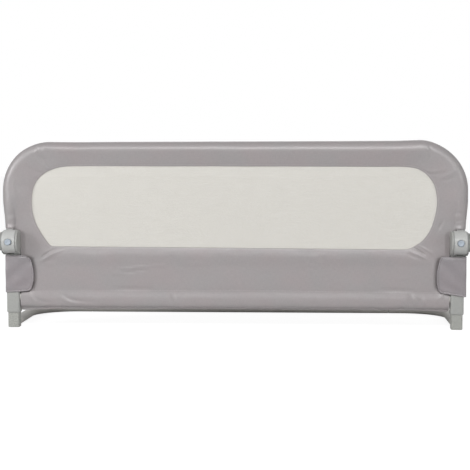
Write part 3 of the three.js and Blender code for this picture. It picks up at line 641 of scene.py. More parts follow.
def join_rail(
    piece: Piece, finish: Finish, body: str | None, nodes: Sequence[str] = (),
) -> None:
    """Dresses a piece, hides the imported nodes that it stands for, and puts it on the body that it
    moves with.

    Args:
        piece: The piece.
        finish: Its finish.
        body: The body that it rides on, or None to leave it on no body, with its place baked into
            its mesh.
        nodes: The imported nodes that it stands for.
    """
    dress(piece, finish)
    if nodes:
        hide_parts(*nodes)
    if body is None:
        PLAN.across_joint(piece)
    else:
        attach(piece, body)
    LOG.info("%s: %d points", piece.name, len(piece.data.vertices))


def grid_mesh(name: str, places: Array, cut: Array, closed: bool) -> bpy.types.Mesh:
    """Makes a mesh of quads from a grid of places.

    Args:
        name: The mesh's name.
        places: Points, as rows by columns by 3.
        cut: The place of each point on the cut cloth, as rows by columns by 2.
        closed: Whether the last row joins the first, and the last column the first.

    Returns:
        The mesh, with its cut map.
    """
    rows, columns = places.shape[:2]
    mesh = bpy.data.meshes.new(name)
    faces, corners = [], []
    for i in range(rows if closed else rows - 1):
        for j in range(columns if closed else columns - 1):
            corners.append(((i, j), (i, j + 1), (i + 1, j + 1), (i + 1, j)))
            faces.append(tuple(a % rows * columns + b % columns for a, b in corners[-1]))
    mesh.from_pydata(places.reshape(-1, 3).tolist(), [], faces)
    if closed:
        cut = np.concatenate([cut, cut[:1]], 0)
        cut = np.concatenate([cut, 2 * cut[:, -1:] - cut[:, -2:-1]], 1)
    layer = mesh.uv_layers.new(name=CUT_MAP)
    flat = [cut[i, j] for face in corners for i, j in face]
    layer.data.foreach_set("uv", np.array(flat, np.float32).ravel())
    return mesh


def polyline_near(points: Array, x: Array, z: Array) -> tuple[Array, Array]:
    """Finds where places in the rail's plane lie beside a line.

    Args:
        points: The line's points, each x and z.
        x: The places' x.
        z: The places' z.

    Returns:
        The share along the line and the distance to it.
    """
    best = np.full(x.shape, np.inf)
    along = np.zeros(x.shape)
    marks = run_lengths(points)
    for (ax, az), (bx, bz), start, end in zip(points, points[1:], marks, marks[1:]):
        length = end - start
        dx, dz = (bx - ax) / length, (bz - az) / length
        t = np.clip((x - ax) * dx + (z - az) * dz, 0, length)
        distance = np.hypot(x - ax - t * dx, z - az - t * dz)
        nearer = distance < best
        best = np.where(nearer, distance, best)
        along = np.where(nearer, (start + t) / marks[-1], along)
    return along, best


@dataclass(frozen=True)
class Fold:
    """A crease in the cloth: a line in the rail's plane, its width and its height.

    A positive height stands proud of the cloth, a negative one is a valley.
    """

    line: Line
    width: float
    height: float

    def relief(self, x: Array, z: Array) -> Array:
        """Gives the fold's height over places in the rail's plane, in metres.

        Args:
            x: The places' x.
            z: The places' z.

        Returns:
            The height at each place.
        """
        along, distance = polyline_near(catmull(np.array(self.line) * MM, 6), x, z)
        taper = np.sin(np.pi * np.clip(along, 0.02, 0.98)) ** 0.7
        return self.height * MM * taper * np.exp(-((distance / (self.width * MM)) ** 2))


def catmull(points: Array, steps: int) -> Array:
    """Draws a smooth line through points.

    Args:
        points: The points to pass through.
        steps: The number of steps between two of them.

    Returns:
        The finer line.
    """
    if len(points) < 3:
        return points
    padded = np.vstack([2 * points[0] - points[1], points, 2 * points[-1] - points[-2]])
    line = []
    for p0, p1, p2, p3 in zip(padded, padded[1:], padded[2:], padded[3:]):
        for t in np.arange(steps) / steps:
            square, cube = 2 * p0 - 5 * p1 + 4 * p2 - p3, 3 * p1 - p0 - 3 * p2 + p3
            line.append(0.5 * (2 * p1 + (p2 - p0) * t + square * t**2 + cube * t**3))
    line.append(points[-1])
    return np.array(line)


def run_lengths(points: Array) -> Array:
    """Gives how far along a line each of its points lies."""
    return np.concatenate([[0], np.cumsum(np.linalg.norm(np.diff(points, axis=0), axis=1))])


def bezier(ends: Sequence[Sequence[float]], steps: int) -> Array:
    """Gives the points of a cubic curve from its four guide points, its two ends included.

    Args:
        ends: The four guide points.
        steps: The number of steps.

    Returns:
        The points.
    """
    t = np.linspace(0, 1, steps + 1)[:, None]
    p0, p1, p2, p3 = (np.array(p, float) for p in ends)
    return (1 - t) ** 3 * p0 + 3 * (1 - t) ** 2 * t * p1 + 3 * (1 - t) * t**2 * p2 + t**3 * p3


def at_lengths(points: Array, count: int) -> Array:
    """Spaces a count of points evenly along a line.

    Args:
        points: The line's points.
        count: How many to give.

    Returns:
        The evenly spaced points.
    """
    lengths = run_lengths(points)
    wanted = np.linspace(0, lengths[-1], count)
    return np.stack([np.interp(wanted, lengths, column) for column in points.T], 1)


# Settling
@dataclass(frozen=True)
class Settling:
    """Lets cloth settle between its held edges, by a short simulation on a coarser grid."""

    frames: int = 18
    pressure: float = 4.0
    slack: float = 0.014
    limit: float = 2.4 * MM
    share: float = 0.8

    def shift(self, places: Array, held: Array) -> Array:
        """Gives how far each point of a closed sheet moves.

        Args:
            places: The points of a sheet that closes both ways, as rows by columns by 3.
            held: 1 where the cloth is sewn down and 0 where it is free, for each point.

        Returns:
            The shifts, softly held under the limit.
        """
        rows, columns = places.shape[:2]
        picks = np.arange(0, rows, 3), np.arange(0, columns, 3)
        coarse = places[np.ix_(*picks)]
        mesh = grid_mesh("settling_cloth", coarse, coarse[:, :, ::2], True)
        cloth = new_piece("settling_cloth", mesh)
        moved = self._simulate(cloth, held[np.ix_(*picks)].ravel())
        bpy.data.objects.remove(cloth)
        step = moved.reshape(coarse.shape) - coarse
        length = np.linalg.norm(step, axis=2, keepdims=True)
        step = step * self.share / (1 + length / self.limit)
        step = self._spread(self._spread(step, picks[0], rows, 0), picks[1], columns, 1)
        for axis in (0, 1) * 3:
            step = (np.roll(step, 1, axis) + np.roll(step, -1, axis) + step) / 3
        return step * (1 - held[:, :, None])

    def _simulate(self, cloth: Piece, held: Array) -> Array:
        """Runs the simulation and gives the settled points.

        Args:
            cloth: The coarse cloth.
            held: How firmly each of its points is held.

        Returns:
            The settled points.
        """
        group = cloth.vertex_groups.new(name="sewn_down")
        for i in np.flatnonzero(held > 0):
            group.add([int(i)], float(held[i]), "REPLACE")
        settle = cloth.modifiers.new("settle", "CLOTH")
        ways = settle.settings
        ways.quality, ways.mass, ways.air_damping = 6, 0.2, 2.0
        ways.tension_stiffness = ways.compression_stiffness = 14
        ways.shear_stiffness, ways.bending_stiffness = 4, 0.05
        ways.vertex_group_mass = group.name
        ways.shrink_min = -self.slack
        ways.use_pressure, ways.uniform_pressure_force = True, self.pressure
        ways.effector_weights.gravity = 0
        settle.point_cache.frame_start, settle.point_cache.frame_end = 1, self.frames
        scene = bpy.context.scene
        for frame_number in range(1, self.frames + 1):
            scene.frame_set(frame_number)
        graph = bpy.context.evaluated_depsgraph_get()
        settled = cloth.evaluated_get(graph).data
        places = np.empty(len(settled.vertices) * 3)
        settled.vertices.foreach_get("co", places)
        scene.frame_set(1)
        return places.reshape(-1, 3)

    @staticmethod
    def _spread(values: Array, picks: Array, count: int, axis: int) -> Array:
        """Fills in the values between the picked rows or columns of a closed sheet.

        Args:
            values: The values at the picks.
            picks: The numbers of the picked rows or columns.
            count: How many rows or columns there are in all.
            axis: 0 for rows, 1 for columns.

        Returns:
            The values of every row or column.
        """
        turned_values = np.moveaxis(values, axis, 0)
        closed = np.concatenate([turned_values, turned_values[:1]])
        marks = np.append(picks, count)
        flat = closed.reshape(len(marks), -1)
        filled = np.stack([np.interp(np.arange(count), marks, column) for column in flat.T], 1)
        return np.moveaxis(filled.reshape(count, *turned_values.shape[1:]), 0, axis)


# Cover
@dataclass(frozen=True)
class RailPlan:
    """The sizes that the cover, the net, the flaps and the tubes share, in the rail's own plane.

    The window's knots are in mm, for the left side at -1 and for the right side at 1.
    """

    axis_y: float = -126 * MM
    upright: float = 524.5 * MM
    height: float = 420 * MM
    bend: float = 96 * MM
    sleeve: float = 18.7 * MM
    cuff: float = 14.2 * MM
    cuff_bottom: float = 233.5 * MM
    gather_top: float = 302 * MM
    forward: float = 6 * MM
    edge_half: float = 1.8 * MM
    leg: float = 519.5 * MM
    leg_half: float = 15.5 * MM
    bend_low: float = 166 * MM
    bend_high: float = 242 * MM
    bar_height: float = 72 * MM
    pocket: float = 12.9 * MM
    window_middle: Pair = (189 * MM, 379.9 * MM)
    window_knots: dict[int, Line] = field(default_factory=lambda: {
        -1: (
            (425, 191.3), (433, 194.5), (441, 204.6), (450, 217.4), (463, 240.2), (471.2, 263.8),
            (475, 293), (472.2, 322.5), (461.5, 346.3), (444, 363.2), (418, 374.6), (390, 379.2),
            (362, 379.9),
        ),
        1: (
            (394, 186.4), (409, 188.6), (424, 196.4), (440, 208.4), (455, 229), (464.4, 254.2),
            (470.5, 281), (471.2, 306), (465, 335.3), (449.6, 358.4), (427, 373.2), (400, 378.1),
            (362, 378.8),
        ),
    })

    def window_edge(self, sign: int) -> Array:
        """Gives the window's edge on one side, from its bottom's middle to its top's middle.

        Args:
            sign: -1 for the left side, 1 for the right.

        Returns:
            The points, each the distance from the middle and the height.
        """
        low, high = self.window_middle
        knots = catmull(np.array(self.window_knots[sign]) * MM, 8)
        return np.vstack([[0, low], knots, [0, high]])

    def window_line(self, offset: float) -> Array:
        """Gives a line round the window, a distance outside its edge, as x and z.

        Args:
            offset: The distance, in metres.

        Returns:
            The closed line.
        """
        sides = [self.window_edge(sign) * (sign, 1) for sign in (-1, 1)]
        ring = at_lengths(np.vstack([sides[0][:-1], sides[1][:0:-1]]), 600)
        run = np.roll(ring, -1, 0) - np.roll(ring, 1, 0)
        out = np.stack([-run[:, 1], run[:, 0]], 1) / np.linalg.norm(run, axis=1)[:, None]
        middle = np.array([0, sum(self.window_middle) / 2])
        out *= np.sign(np.sum(out * (ring - middle), 1))[:, None]
        line = ring + offset * out
        return np.vstack([line, line[:1]])

    def across_joint(self, piece: Piece) -> None:
        """Bakes a piece's place into its mesh, leaving it on no body."""
        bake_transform(piece)


PLAN = RailPlan()


@dataclass(frozen=True)
class Section:
    """Where one section of the cover lies: from the window to a free hem or round the padding."""

    inner: Array
    outer: Array
    inward: Array | None = None
    reach: float = 0.0
    shrink: float = 0.0
    lift: float = 0.0


@dataclass
class Cover:
    """The fabric cover: the padded edge, the panel under the window and the hem pocket.

    The lines are in mm: the hem, the hinge line and the folds by distance from the middle and
    height, the front line by height and depth, and the top line by distance and rise.
    """

    plan: RailPlan = PLAN
    sheet_points: int = 44
    wrap_points: int = 28
    spacing: float = 3.4 * MM
    settling: Settling = Settling()
    hem_side: dict[int, Line] = field(default_factory=lambda: {
        -1: (
            (499.5, 41.2), (502, 43.6), (502.2, 54), (501.8, 73), (499, 92), (499, 110),
            (500, 130), (500, 166),
        ),
        1: ((496.5, 42.6), (500, 45), (501.2, 54), (501.4, 90), (501.4, 130), (501, 166)),
    })
    hem_middle: float = 45.6 * MM
    hem_dips: Line = ((-85, 2.8), (-20, 0.5))
    hem_seams: Pair = (5 * MM, 44.5 * MM)
    corner_top: float = 120 * MM
    hinge_split: float = 212 * MM
    side_marks: tuple[float, ...] = (200 * MM, 211 * MM, 222 * MM, 232.6 * MM)
    window_hem: float = 4 * MM
    plain_depth: float = 7.8 * MM
    plain_reach: Pair = (428 * MM, 470 * MM)
    plain_height: Pair = (150 * MM, 165 * MM)
    web_fullness: float = 0.25
    web_rise: float = 11 * MM
    web_half: float = 16 * MM
    rim_span: Pair = (12.5 * MM, 22 * MM)
    rear_start: float = 44 * MM
    rear_hem: Pair = (-3.4 * MM, -1.0 * MM)
    pocket_seam: float = 1.6 * MM
    bar_hold: Triple = (70 * MM, 16 * MM, 95 * MM)
    bar_grip: float = 0.6
    calm_share: float = 0.85
    calm_reach: Pair = (430 * MM, 465 * MM)
    calm_height: Line = ((175 * MM, 200 * MM), (270 * MM, 310 * MM))
    slack_depth: float = 1.1 * MM
    slack_waves: Triple = (9, 14, 0.3)
    seam_share: float = 0.16
    top_band: Pair = (405 * MM, 436 * MM)
    hinge_tuck: float = 2.4 * MM
    hinge_beside: Pair = (489 * MM, 501 * MM)
    hinge_tuck_end: float = 507 * MM
    hinge_height: Line = ((163 * MM, 178 * MM), (218 * MM, 231 * MM))
    flap_tuck: float = 8.0 * MM
    flap_valley: Pair = (461 * MM, 479 * MM)
    flap_valley_end: Pair = (487 * MM, 498 * MM)
    flap_height: Line = ((84 * MM, 102 * MM), (154 * MM, 171 * MM))
    rim: tuple[Triple, ...] = ((0, 1.0 * MM, 0.2 * MM), (0.7 * MM, 0.2 * MM, 1.3 * MM))
    hinge_line: Line = (
        (501, 168), (501.2, 172), (501.4, 179), (501.4, 192), (501.4, 205), (501.6, 216),
        (502.4, 221.4), (504.6, 225.4), (508, 227.6), (512, 229.8),
    )
    front_line: Line = (
        (38, 2.6), (44, 3.4), (47, 5.6), (49.5, 9.6), (52, 11.6), (56, 12.8), (61, 13.1),
        (67, 13.0), (72, 12.5), (76, 11.8), (80, 10.9), (84, 10.0), (88, 9.3), (93, 9.0),
        (112, 8.5), (134, 8.0), (146, 7.9), (150, 8.1), (155, 8.6), (160, 9.1), (166, 9.6),
        (171, 9.6), (177, 9.2), (184, 8.5), (190, 7.9), (196, 7.8), (202, 7.8),
    )
    top_line: Line = (
        (-560, -1.8), (-470, -1.6), (-400, -1.4), (-260, -0.6), (0, 0.2), (240, 0.9),
        (380, 1.8), (441, 2.9), (480, 1.0), (560, -0.6),
    )
    folds: tuple[Fold, ...] = (
        Fold(((-464, 441), (-460, 424), (-456, 409), (-450, 398), (-441, 388)), 2.2, -3.4),
        Fold(((-457, 441), (-452, 424), (-447, 411), (-440, 401)), 3.6, 1.8),
        Fold(((-449, 386), (-438, 376), (-428, 367)), 2.6, 1.3),
        Fold(((-470, 372), (-457, 366), (-441, 361)), 3.0, -1.1),
        Fold(((-496, 398), (-482, 385), (-469, 377)), 4.0, 0.9),
        Fold(((451, 441), (452, 424), (455, 410), (453, 396)), 2.2, -2.6),
        Fold(((443, 441), (446, 427), (448, 411)), 3.6, 1.6),
        Fold(((441, 372), (455, 368), (472, 369), (489, 374)), 2.4, 0.9),
        Fold(((443, 364), (458, 361), (475, 362), (490, 368)), 2.2, -0.9),
        Fold(((474, 352), (490, 357), (509, 368), (522, 380)), 3.0, 1.1),
        Fold(((480, 345), (498, 349), (517, 358)), 2.6, -1.0),
        Fold(((-454, 164), (-444, 172), (-432, 179), (-418, 186.5)), 1.7, -3.3),
        Fold(((-459, 158), (-446, 162), (-434, 169), (-420, 176), (-400, 183)), 2.5, 3.2),
        Fold(((-452, 151), (-430, 158), (-408, 163)), 3.2, -1.1),
        Fold(((413, 194), (422, 189), (433, 183), (446, 175)), 1.9, -3.0),
        Fold(((421, 200), (433, 194), (450, 185), (466, 174)), 2.6, 1.2),
        Fold(((404, 185), (418, 179), (434, 172), (452, 163)), 2.4, 1.4),
        Fold(((400, 178), (420, 170), (440, 163)), 2.6, -1.3),
        Fold(((508, 268), (516, 272), (527, 272), (536, 266)), 1.8, -1.3),
        Fold(((510, 259), (519, 264), (530, 263), (539, 256)), 1.8, 1.1),
        Fold(((513, 250), (522, 254), (531, 252), (537, 247)), 1.7, -1.2),
        Fold(((-510, 262), (-520, 267), (-531, 264), (-538, 258)), 2.3, -1.6),
        Fold(((-512, 254), (-520, 257), (-529, 255)), 2.2, 1.2),
        Fold(((-505, 300), (-512, 318), (-515, 338), (-512, 352)), 4.2, 1.0),
        Fold(((476, 232), (482, 246), (489, 258)), 3.0, -1.3),
        Fold(((-446, 156), (-436, 150), (-420, 148)), 3.2, 0.9),
        Fold(((-268, 137), (-245, 139), (-222, 142), (-196, 143)), 1.9, 2.5),
        Fold(((-272, 132), (-246, 133), (-220, 137), (-198, 138)), 1.9, -1.9),
        Fold(((-290, 127), (-268, 128), (-246, 130)), 2.3, 1.2),
        Fold(((-200, 145), (-176, 147), (-150, 149)), 2.4, 1.0),
        Fold(((-296, 95), (-262, 92.5), (-228, 93), (-190, 92)), 2.0, -1.5),
        Fold(((-120, 150), (-96, 152.5), (-70, 151)), 2.6, 1.0),
        Fold(((330, 94), (360, 92), (392, 91), (420, 90)), 2.0, -1.5),
        Fold(((150, 146), (172, 148), (196, 148.5)), 2.4, 0.9),
        Fold(((-150, 160), (-146, 166), (-141, 171)), 2.6, -1.3),
        Fold(((205, 158), (209, 164), (214, 169)), 2.6, -1.1),
        Fold(((407, 80), (410, 68), (414, 54)), 2.2, -2.2),
        Fold(((418, 80), (421, 66), (423, 54)), 2.4, 2.0),
        Fold(((429, 76), (432, 64), (436, 54)), 2.2, -2.0),
        Fold(((440, 74), (444, 64), (449, 56)), 2.6, 1.3),
        Fold(((-149, 80), (-147, 68), (-143, 56)), 2.4, -1.4),
        Fold(((-140, 78), (-137, 66), (-134, 58)), 2.6, 1.1),
        Fold(((-404, 78), (-380, 66), (-352, 62), (-322, 60)), 2.6, -1.6),
        Fold(((-410, 72), (-386, 60), (-358, 56)), 2.6, 1.2),
        Fold(((-474, 72), (-452, 62), (-430, 59)), 2.6, -1.4),
        Fold(((-488, 84), (-476, 70), (-470, 58)), 3.2, 1.2),
        Fold(((488, 84), (478, 70), (474, 58)), 3.2, 1.1),
    )

    def build(self) -> Piece:
        """Builds the cover and dresses it.

        Returns:
            The cover.
        """
        places, cut = self._surface()
        cover = new_piece("padded_cover", grid_mesh("padded_cover", places, cut, True))
        soft = ("cover_upper", "cover_lower", "left_foam", "right_foam", "top_foam")
        join_rail(cover, Finish.COVER, None, soft)
        return cover

    def seams(self) -> list[Array]:
        """Lists the lines of topstitching: round the window, along the hem and above its pocket.

        Returns:
            The lines, as x and z.
        """
        corners = [np.array(self.hem_side[sign][0]) * MM * (sign, 1) for sign in (-1, 1)]
        seams = [self.plan.window_line(3.5 * MM)]
        for rise in self.hem_seams:
            left, right = (corner + (-math.copysign(3 * MM, corner[0]), rise) for corner in corners)
            low = self.hem_middle + rise
            heights = [low, low + (left[1] - low) * 0.9]
            middle = [(x, np.interp(abs(x), [0, 0.4], heights)) for x in np.linspace(-0.4, 0.4, 5)]
            seams.append(np.vstack([left, middle, right]))
        return seams

    # Sections round the window
    def _sections(self, sign: int) -> list[Section]:
        """Lists one side's sections, from the middle of the hem to the middle of the top."""
        edge = self.plan.window_edge(sign)
        return self._flat_sections(sign, edge) + self._round_sections(edge)

    def _flat_sections(self, sign: int, edge: Array) -> list[Section]:
        """Lists the sections that end in a free hem: the bottom, the side and round the hinge.

        Args:
            sign: -1 for the left side, 1 for the right.
            edge: The window's edge on that side.

        Returns:
            The sections.
        """
        side = catmull(np.array(self.hem_side[sign]) * MM, 6)
        hinge = catmull(np.vstack([side[-1], np.array(self.hinge_line) * MM]), 6)
        dips = [side[0] + np.array(dip) * MM for dip in self.hem_dips]
        low = np.array([[0, self.hem_middle], *dips, side[0]])
        split = np.searchsorted(side[:, 1], self.corner_top)
        hinge_split = np.searchsorted(hinge[:, 1], self.hinge_split)
        hem = [
            low[:2], low[1:3], np.vstack([low[2:], side[:split + 1]]), side[split:],
            hinge[:hinge_split + 1], hinge[hinge_split:],
        ]
        sections = []
        marks = self._marks(edge)
        lengths = run_lengths(edge)
        for outer, start, end in zip(hem, marks, marks[1:]):
            count = max(4, round(run_lengths(outer)[-1] / self.spacing) + 1)
            spaced = at_lengths(outer, count)
            for k, share in enumerate(np.arange(count - 1) / (count - 1)):
                mark = start + share * (end - start)
                inner = np.array([np.interp(mark, lengths, column) for column in edge.T])
                sections.append(Section(inner, spaced[k]))
        return sections

    def _marks(self, edge: Array) -> list[float]:
        """Lists how far along the window's edge the runs of the free hem begin and end.

        Args:
            edge: The window's edge on one side.

        Returns:
            The lengths, from the bottom's middle to the cuff.
        """
        lengths = run_lengths(edge)
        corner = lengths[1] + 8 * MM
        rising = (lengths > lengths[1]) & (edge[:, 1] < 290 * MM)
        table = edge[rising, 1], lengths[rising]
        low, middle, high, top = (np.interp(z, *table) for z in self.side_marks)
        return [0, corner - 45 * MM, corner, low - 4 * MM, middle - 4 * MM, high, top]

    def _round_sections(self, edge: Array) -> list[Section]:
        """Lists the sections that wrap round the padding, from the cuff to the top's middle.

        Args:
            edge: The window's edge on one side.

        Returns:
            The sections.
        """
        p = self.plan
        start = p.height - p.bend
        count = round((start - p.cuff_bottom) / self.spacing) + 1
        heights = np.linspace(p.cuff_bottom + 4 * MM, start, count)
        axis = [((p.upright, z), (-1, 0)) for z in heights[:-1]]
        turns = np.linspace(0, math.pi / 2, round(p.bend * math.pi / 2 / self.spacing) + 1)
        centre = (p.upright - p.bend, start)
        for t in turns[:-1]:
            place = (centre[0] + p.bend * math.cos(t), centre[1] + p.bend * math.sin(t))
            axis.append((place, (-math.cos(t), -math.sin(t))))
        for x in np.linspace(centre[0], 0, round(centre[0] / self.spacing) + 1):
            axis.append(((x, p.height), (0, -1)))
        rim = [((p.upright, p.cuff_bottom + rise), (-1, 0)) for rise, *_ in self.rim]
        sections = []
        for k, (place, inward) in enumerate(rim + axis):
            place, inward = np.array(place), np.array(inward, float)
            _, shrink, lift = self.rim[k] if k < len(rim) else (0, 0, 0)
            reach = distance_to(edge, place, inward)
            sections.append(Section(place + reach * inward, place, inward, reach, shrink, lift))
        return sections

    # One section's points
    def _points(self, section: Section) -> Array:
        """Gives one section's points: front sheet, outer edge, rear sheet, as x, y and z."""
        return self._flat_points(section) if section.inward is None else self._round_points(section)

    def _round_points(self, section: Section) -> Array:
        """Gives a section that wraps round the padding.

        Args:
            section: The section.

        Returns:
            Its points.
        """
        p = self.plan
        reach, z = section.reach, section.outer[1]
        gather = smooth(z, p.cuff_bottom, p.gather_top)
        radius = p.cuff + (p.sleeve - p.cuff) * gather - section.shrink
        fullness = smooth(z, p.cuff_bottom, p.height - p.bend)
        sewn = reach - self.window_hem
        front, rear = p.forward + p.edge_half, p.forward - p.edge_half
        ends = []
        for forward in (front, -rear):
            flat = math.asin(forward / radius)
            tangent = math.atan2(forward, sewn) + math.acos(radius / math.hypot(sewn, forward))
            ends.append(flat + (tangent - flat) * fullness)
        shares = sheet_shares(self.sheet_points)
        rows = []
        for turn, end, forward in ((-1, ends[0], front), (1, ends[1], -rear)):
            tangent_u, tangent_v = radius * math.cos(end), radius * math.sin(end)
            u = reach + (tangent_u - reach) * shares
            v = np.interp(u, [tangent_u, sewn, reach], [tangent_v, forward, forward])
            rows.append(np.stack([u, turn * v], 1))
        turns = np.linspace(ends[0], 2 * math.pi - ends[1], self.wrap_points + 2)[1:-1]
        wrap = np.stack([radius * np.cos(turns), -radius * np.sin(turns)], 1)
        points = np.vstack([rows[0], wrap, rows[1][::-1]])
        over_web = self.web_fullness * (1 - smooth(z, p.cuff_bottom, p.cuff_bottom + self.web_rise))
        beside = np.clip(1 - np.abs(points[:, 0]) / self.web_half, 0, 1) ** 0.5
        points[:, 1] *= np.where(points[:, 1] < 0, 1 + over_web * beside, 1)
        xz = section.outer + points[:, :1] * section.inward
        xz[:, 1] += section.lift * smooth(points[:, 0], *self.rim_span)
        return np.stack([xz[:, 0], points[:, 1], xz[:, 1]], 1)

    def _flat_points(self, section: Section) -> Array:
        """Gives a section that ends in a free hem.

        Args:
            section: The section.

        Returns:
            Its points.
        """
        inner, outer = section.inner, section.outer
        shares = sheet_shares(self.sheet_points)
        xz = inner + shares[:, None] * (outer - inner)
        plain = smooth(np.abs(xz[:, 0]), *self.plain_reach) * smooth(xz[:, 1], *self.plain_height)
        front = -self._front_depth(xz[:, 1]) * (1 - plain) - self.plain_depth * plain
        rear = self._rear_depth(xz[:, 1])
        towards = (outer - inner) / np.linalg.norm(outer - inner)
        turns = np.linspace(-math.pi / 2, math.pi / 2, self.wrap_points + 2)[1:-1]
        half, middle = (rear[-1] - front[-1]) / 2, (rear[-1] + front[-1]) / 2
        bulge = 0.7 * min(half, self.plan.edge_half)
        edge_xz = outer + bulge * np.cos(turns)[:, None] * towards
        y = np.concatenate([front, middle + half * np.sin(turns), rear[::-1]])
        xz = np.vstack([xz, edge_xz, xz[::-1]])
        return np.stack([xz[:, 0], y, xz[:, 1]], 1)

    def _front_depth(self, z: Array) -> Array:
        """Gives how far the front sheet stands forward of the tubes' plane, under the window."""
        line = catmull(np.array(self.front_line) * MM, 6)
        return np.interp(z, line[:, 0], line[:, 1])

    def _rear_depth(self, z: Array) -> Array:
        """Gives how far the rear sheet stands behind the tubes' plane, under the window.

        Args:
            z: The places' height.

        Returns:
            The depth at each place.
        """
        p = self.plan
        bar = np.sqrt(np.clip(p.pocket**2 - (z - p.bar_height) ** 2, 0, None))
        low = np.interp(z, [self.rear_start, p.bar_height - p.pocket], self.rear_hem)
        sheet = np.where(z < p.bar_height, low, p.edge_half - p.forward)
        return soft_max(sheet, bar, self.pocket_seam)

    # The whole surface
    def _surface(self) -> tuple[Array, Array]:
        """Gives the cover's points and their places on the cut cloth.

        Returns:
            The points, and their places on the cut cloth.
        """
        right = np.array([self._points(s) for s in self._sections(1)])
        left = np.array([self._points(s) for s in self._sections(-1)]) * np.array([-1, 1, 1])
        places = np.concatenate([right, left[1:-1][::-1]], 0)
        cut = self._cut_map(places)
        moves = self.settling.shift(places, self._held(places))
        places = places + moves * (1 - self.calm_share * self._calm(places))
        places = self._relief(places)
        places[:, :, 1] += self.plan.axis_y
        return places, cut

    def _calm(self, places: Array) -> Array:
        """Gives 1 where the cloth is drawn taut beside the hinges, and 0 away from them."""
        reach, z = np.abs(places[:, :, :1]), places[:, :, 2:]
        return smooth(reach, *self.calm_reach) * hump(z, *self.calm_height)

    def _held(self, places: Array) -> Array:
        """Tells where the cloth is sewn down: at the window, along its hem and at the cuffs.

        Args:
            places: The cover's points.

        Returns:
            1 where it is sewn down, less where it lies on the bar, and 0 elsewhere.
        """
        count, z = self.sheet_points, places[:, :, 2]
        held = np.zeros(places.shape[:2])
        held[:, :2] = held[:, -2:] = 1
        free_hem = z[:, count] < self.plan.cuff_bottom + 3 * MM
        held[free_hem, count - 1:count + self.wrap_points + 1] = 1
        middle, width, top = self.bar_hold
        bar = np.exp(-(((z - middle) / width) ** 2)) * (z < top)
        return np.maximum(held, np.round(bar, 2) * self.bar_grip)

    def _cut_map(self, places: Array) -> Array:
        """Gives each point's place on the cut cloth: its x and its unrolled height.

        Args:
            places: The cover's points.

        Returns:
            Each point's two places on the cloth.
        """
        cut = places[:, :, ::2].copy()
        cut[:, places.shape[1] // 2:, 0] += 0.7
        cut[:, :, 1] += places[:, :, 1] * 0.5
        return cut

    def _relief(self, places: Array) -> Array:
        """Moves the cloth's points by its folds, its hems and its slack.

        Args:
            places: The cover's points.

        Returns:
            The moved points.
        """
        count = self.sheet_points
        wrap = slice(count, count + self.wrap_points)
        x, z = places[:, :, 0], places[:, :, 2]
        front = np.zeros(places.shape[1])
        front[:count] = 1
        front[wrap] = np.linspace(1, 0, self.wrap_points) ** 1.5
        height = sum(fold.relief(x, z) for fold in self.folds)
        height = height + self.slack_depth * slack(x, z, *self.slack_waves)
        shares = sheet_shares(count)
        shares = np.concatenate([shares, np.ones(self.wrap_points), shares[::-1]])
        out = places.copy()
        out[:, :, 1] -= height * front * (0.5 + 0.5 * smooth(shares, 0, self.seam_share))
        out[:, :, 1] += self._tuck(np.abs(x), z)
        around = np.zeros(places.shape[1])
        around[wrap] = np.sin(np.linspace(0, np.pi, self.wrap_points))
        line = np.array(self.top_line) * MM
        rise = np.interp(x, line[:, 0], line[:, 1]) * smooth(z, *self.top_band)
        out[:, :, 2] += rise * around
        return out


    def _tuck(self, reach: Array, z: Array) -> Array:
        """Gives how far the cloth is drawn back beside the hinge and under the flap.

        Args:
            reach: The places' distance from the rail's middle.
            z: Their height.

        Returns:
            The distance, in metres.
        """
        beside = smooth(reach, *self.hinge_beside) * (reach < self.hinge_tuck_end)
        start, end = self.flap_valley
        under = np.clip((reach - start) / (end - start), 0, 1) ** 2
        under = under * (1 - smooth(reach, *self.flap_valley_end))
        by_hinge = self.hinge_tuck * beside * hump(z, *self.hinge_height)
        by_flap = self.flap_tuck * under * hump(z, *self.flap_height)
        return np.maximum(by_hinge, by_flap)


def slack(x: Array, z: Array, across: float, up: float, seed: float) -> Array:
    """Gives soft, even waves from -1 to 1 over the rail's plane."""
    values = [noise.noise(Vector((a * across, b * up, seed))) for a, b in zip(x.ravel(), z.ravel())]
    return np.array(values).reshape(x.shape)


def sheet_shares(count: int) -> Array:
    """Spaces the points across a sheet: close at its edges, wider in its middle.

    Args:
        count: The number of points.

    Returns:
        Each point's share of the way, 0 to 1.
    """
    even = np.linspace(0, 1, count)
    close = (1 - np.cos(np.pi * even)) / 2
    return 0.35 * even + 0.65 * close


def soft_max(first: Array, second: Array, blend: float) -> Array:
    """Gives the larger of two heights, with a soft change from one to the other."""
    share = np.clip(0.5 + 0.5 * (second - first) / blend, 0, 1)
    return first + (second - first) * share + blend * share * (1 - share)


def distance_to(edge: Array, start: Array, direction: Array) -> float:
    """Finds how far the window's edge lies from a place.

    Args:
        edge: One side of the window's edge.
        start: The place, x and z.
        direction: The direction to look in.

    Returns:
        The distance along the direction.
    """
    side = np.diff(edge, axis=0)
    across = direction[0] * side[:, 1] - direction[1] * side[:, 0]
    reach = edge[:-1] - start
    with np.errstate(divide="ignore", invalid="ignore"):
        share = (reach[:, 0] * direction[1] - reach[:, 1] * direction[0]) / across
        distance = (reach[:, 0] * side[:, 1] - reach[:, 1] * side[:, 0]) / across
    hit = (share >= -1e-6) & (share <= 1 + 1e-6) & (distance > 0)
    return float(distance[hit].min())


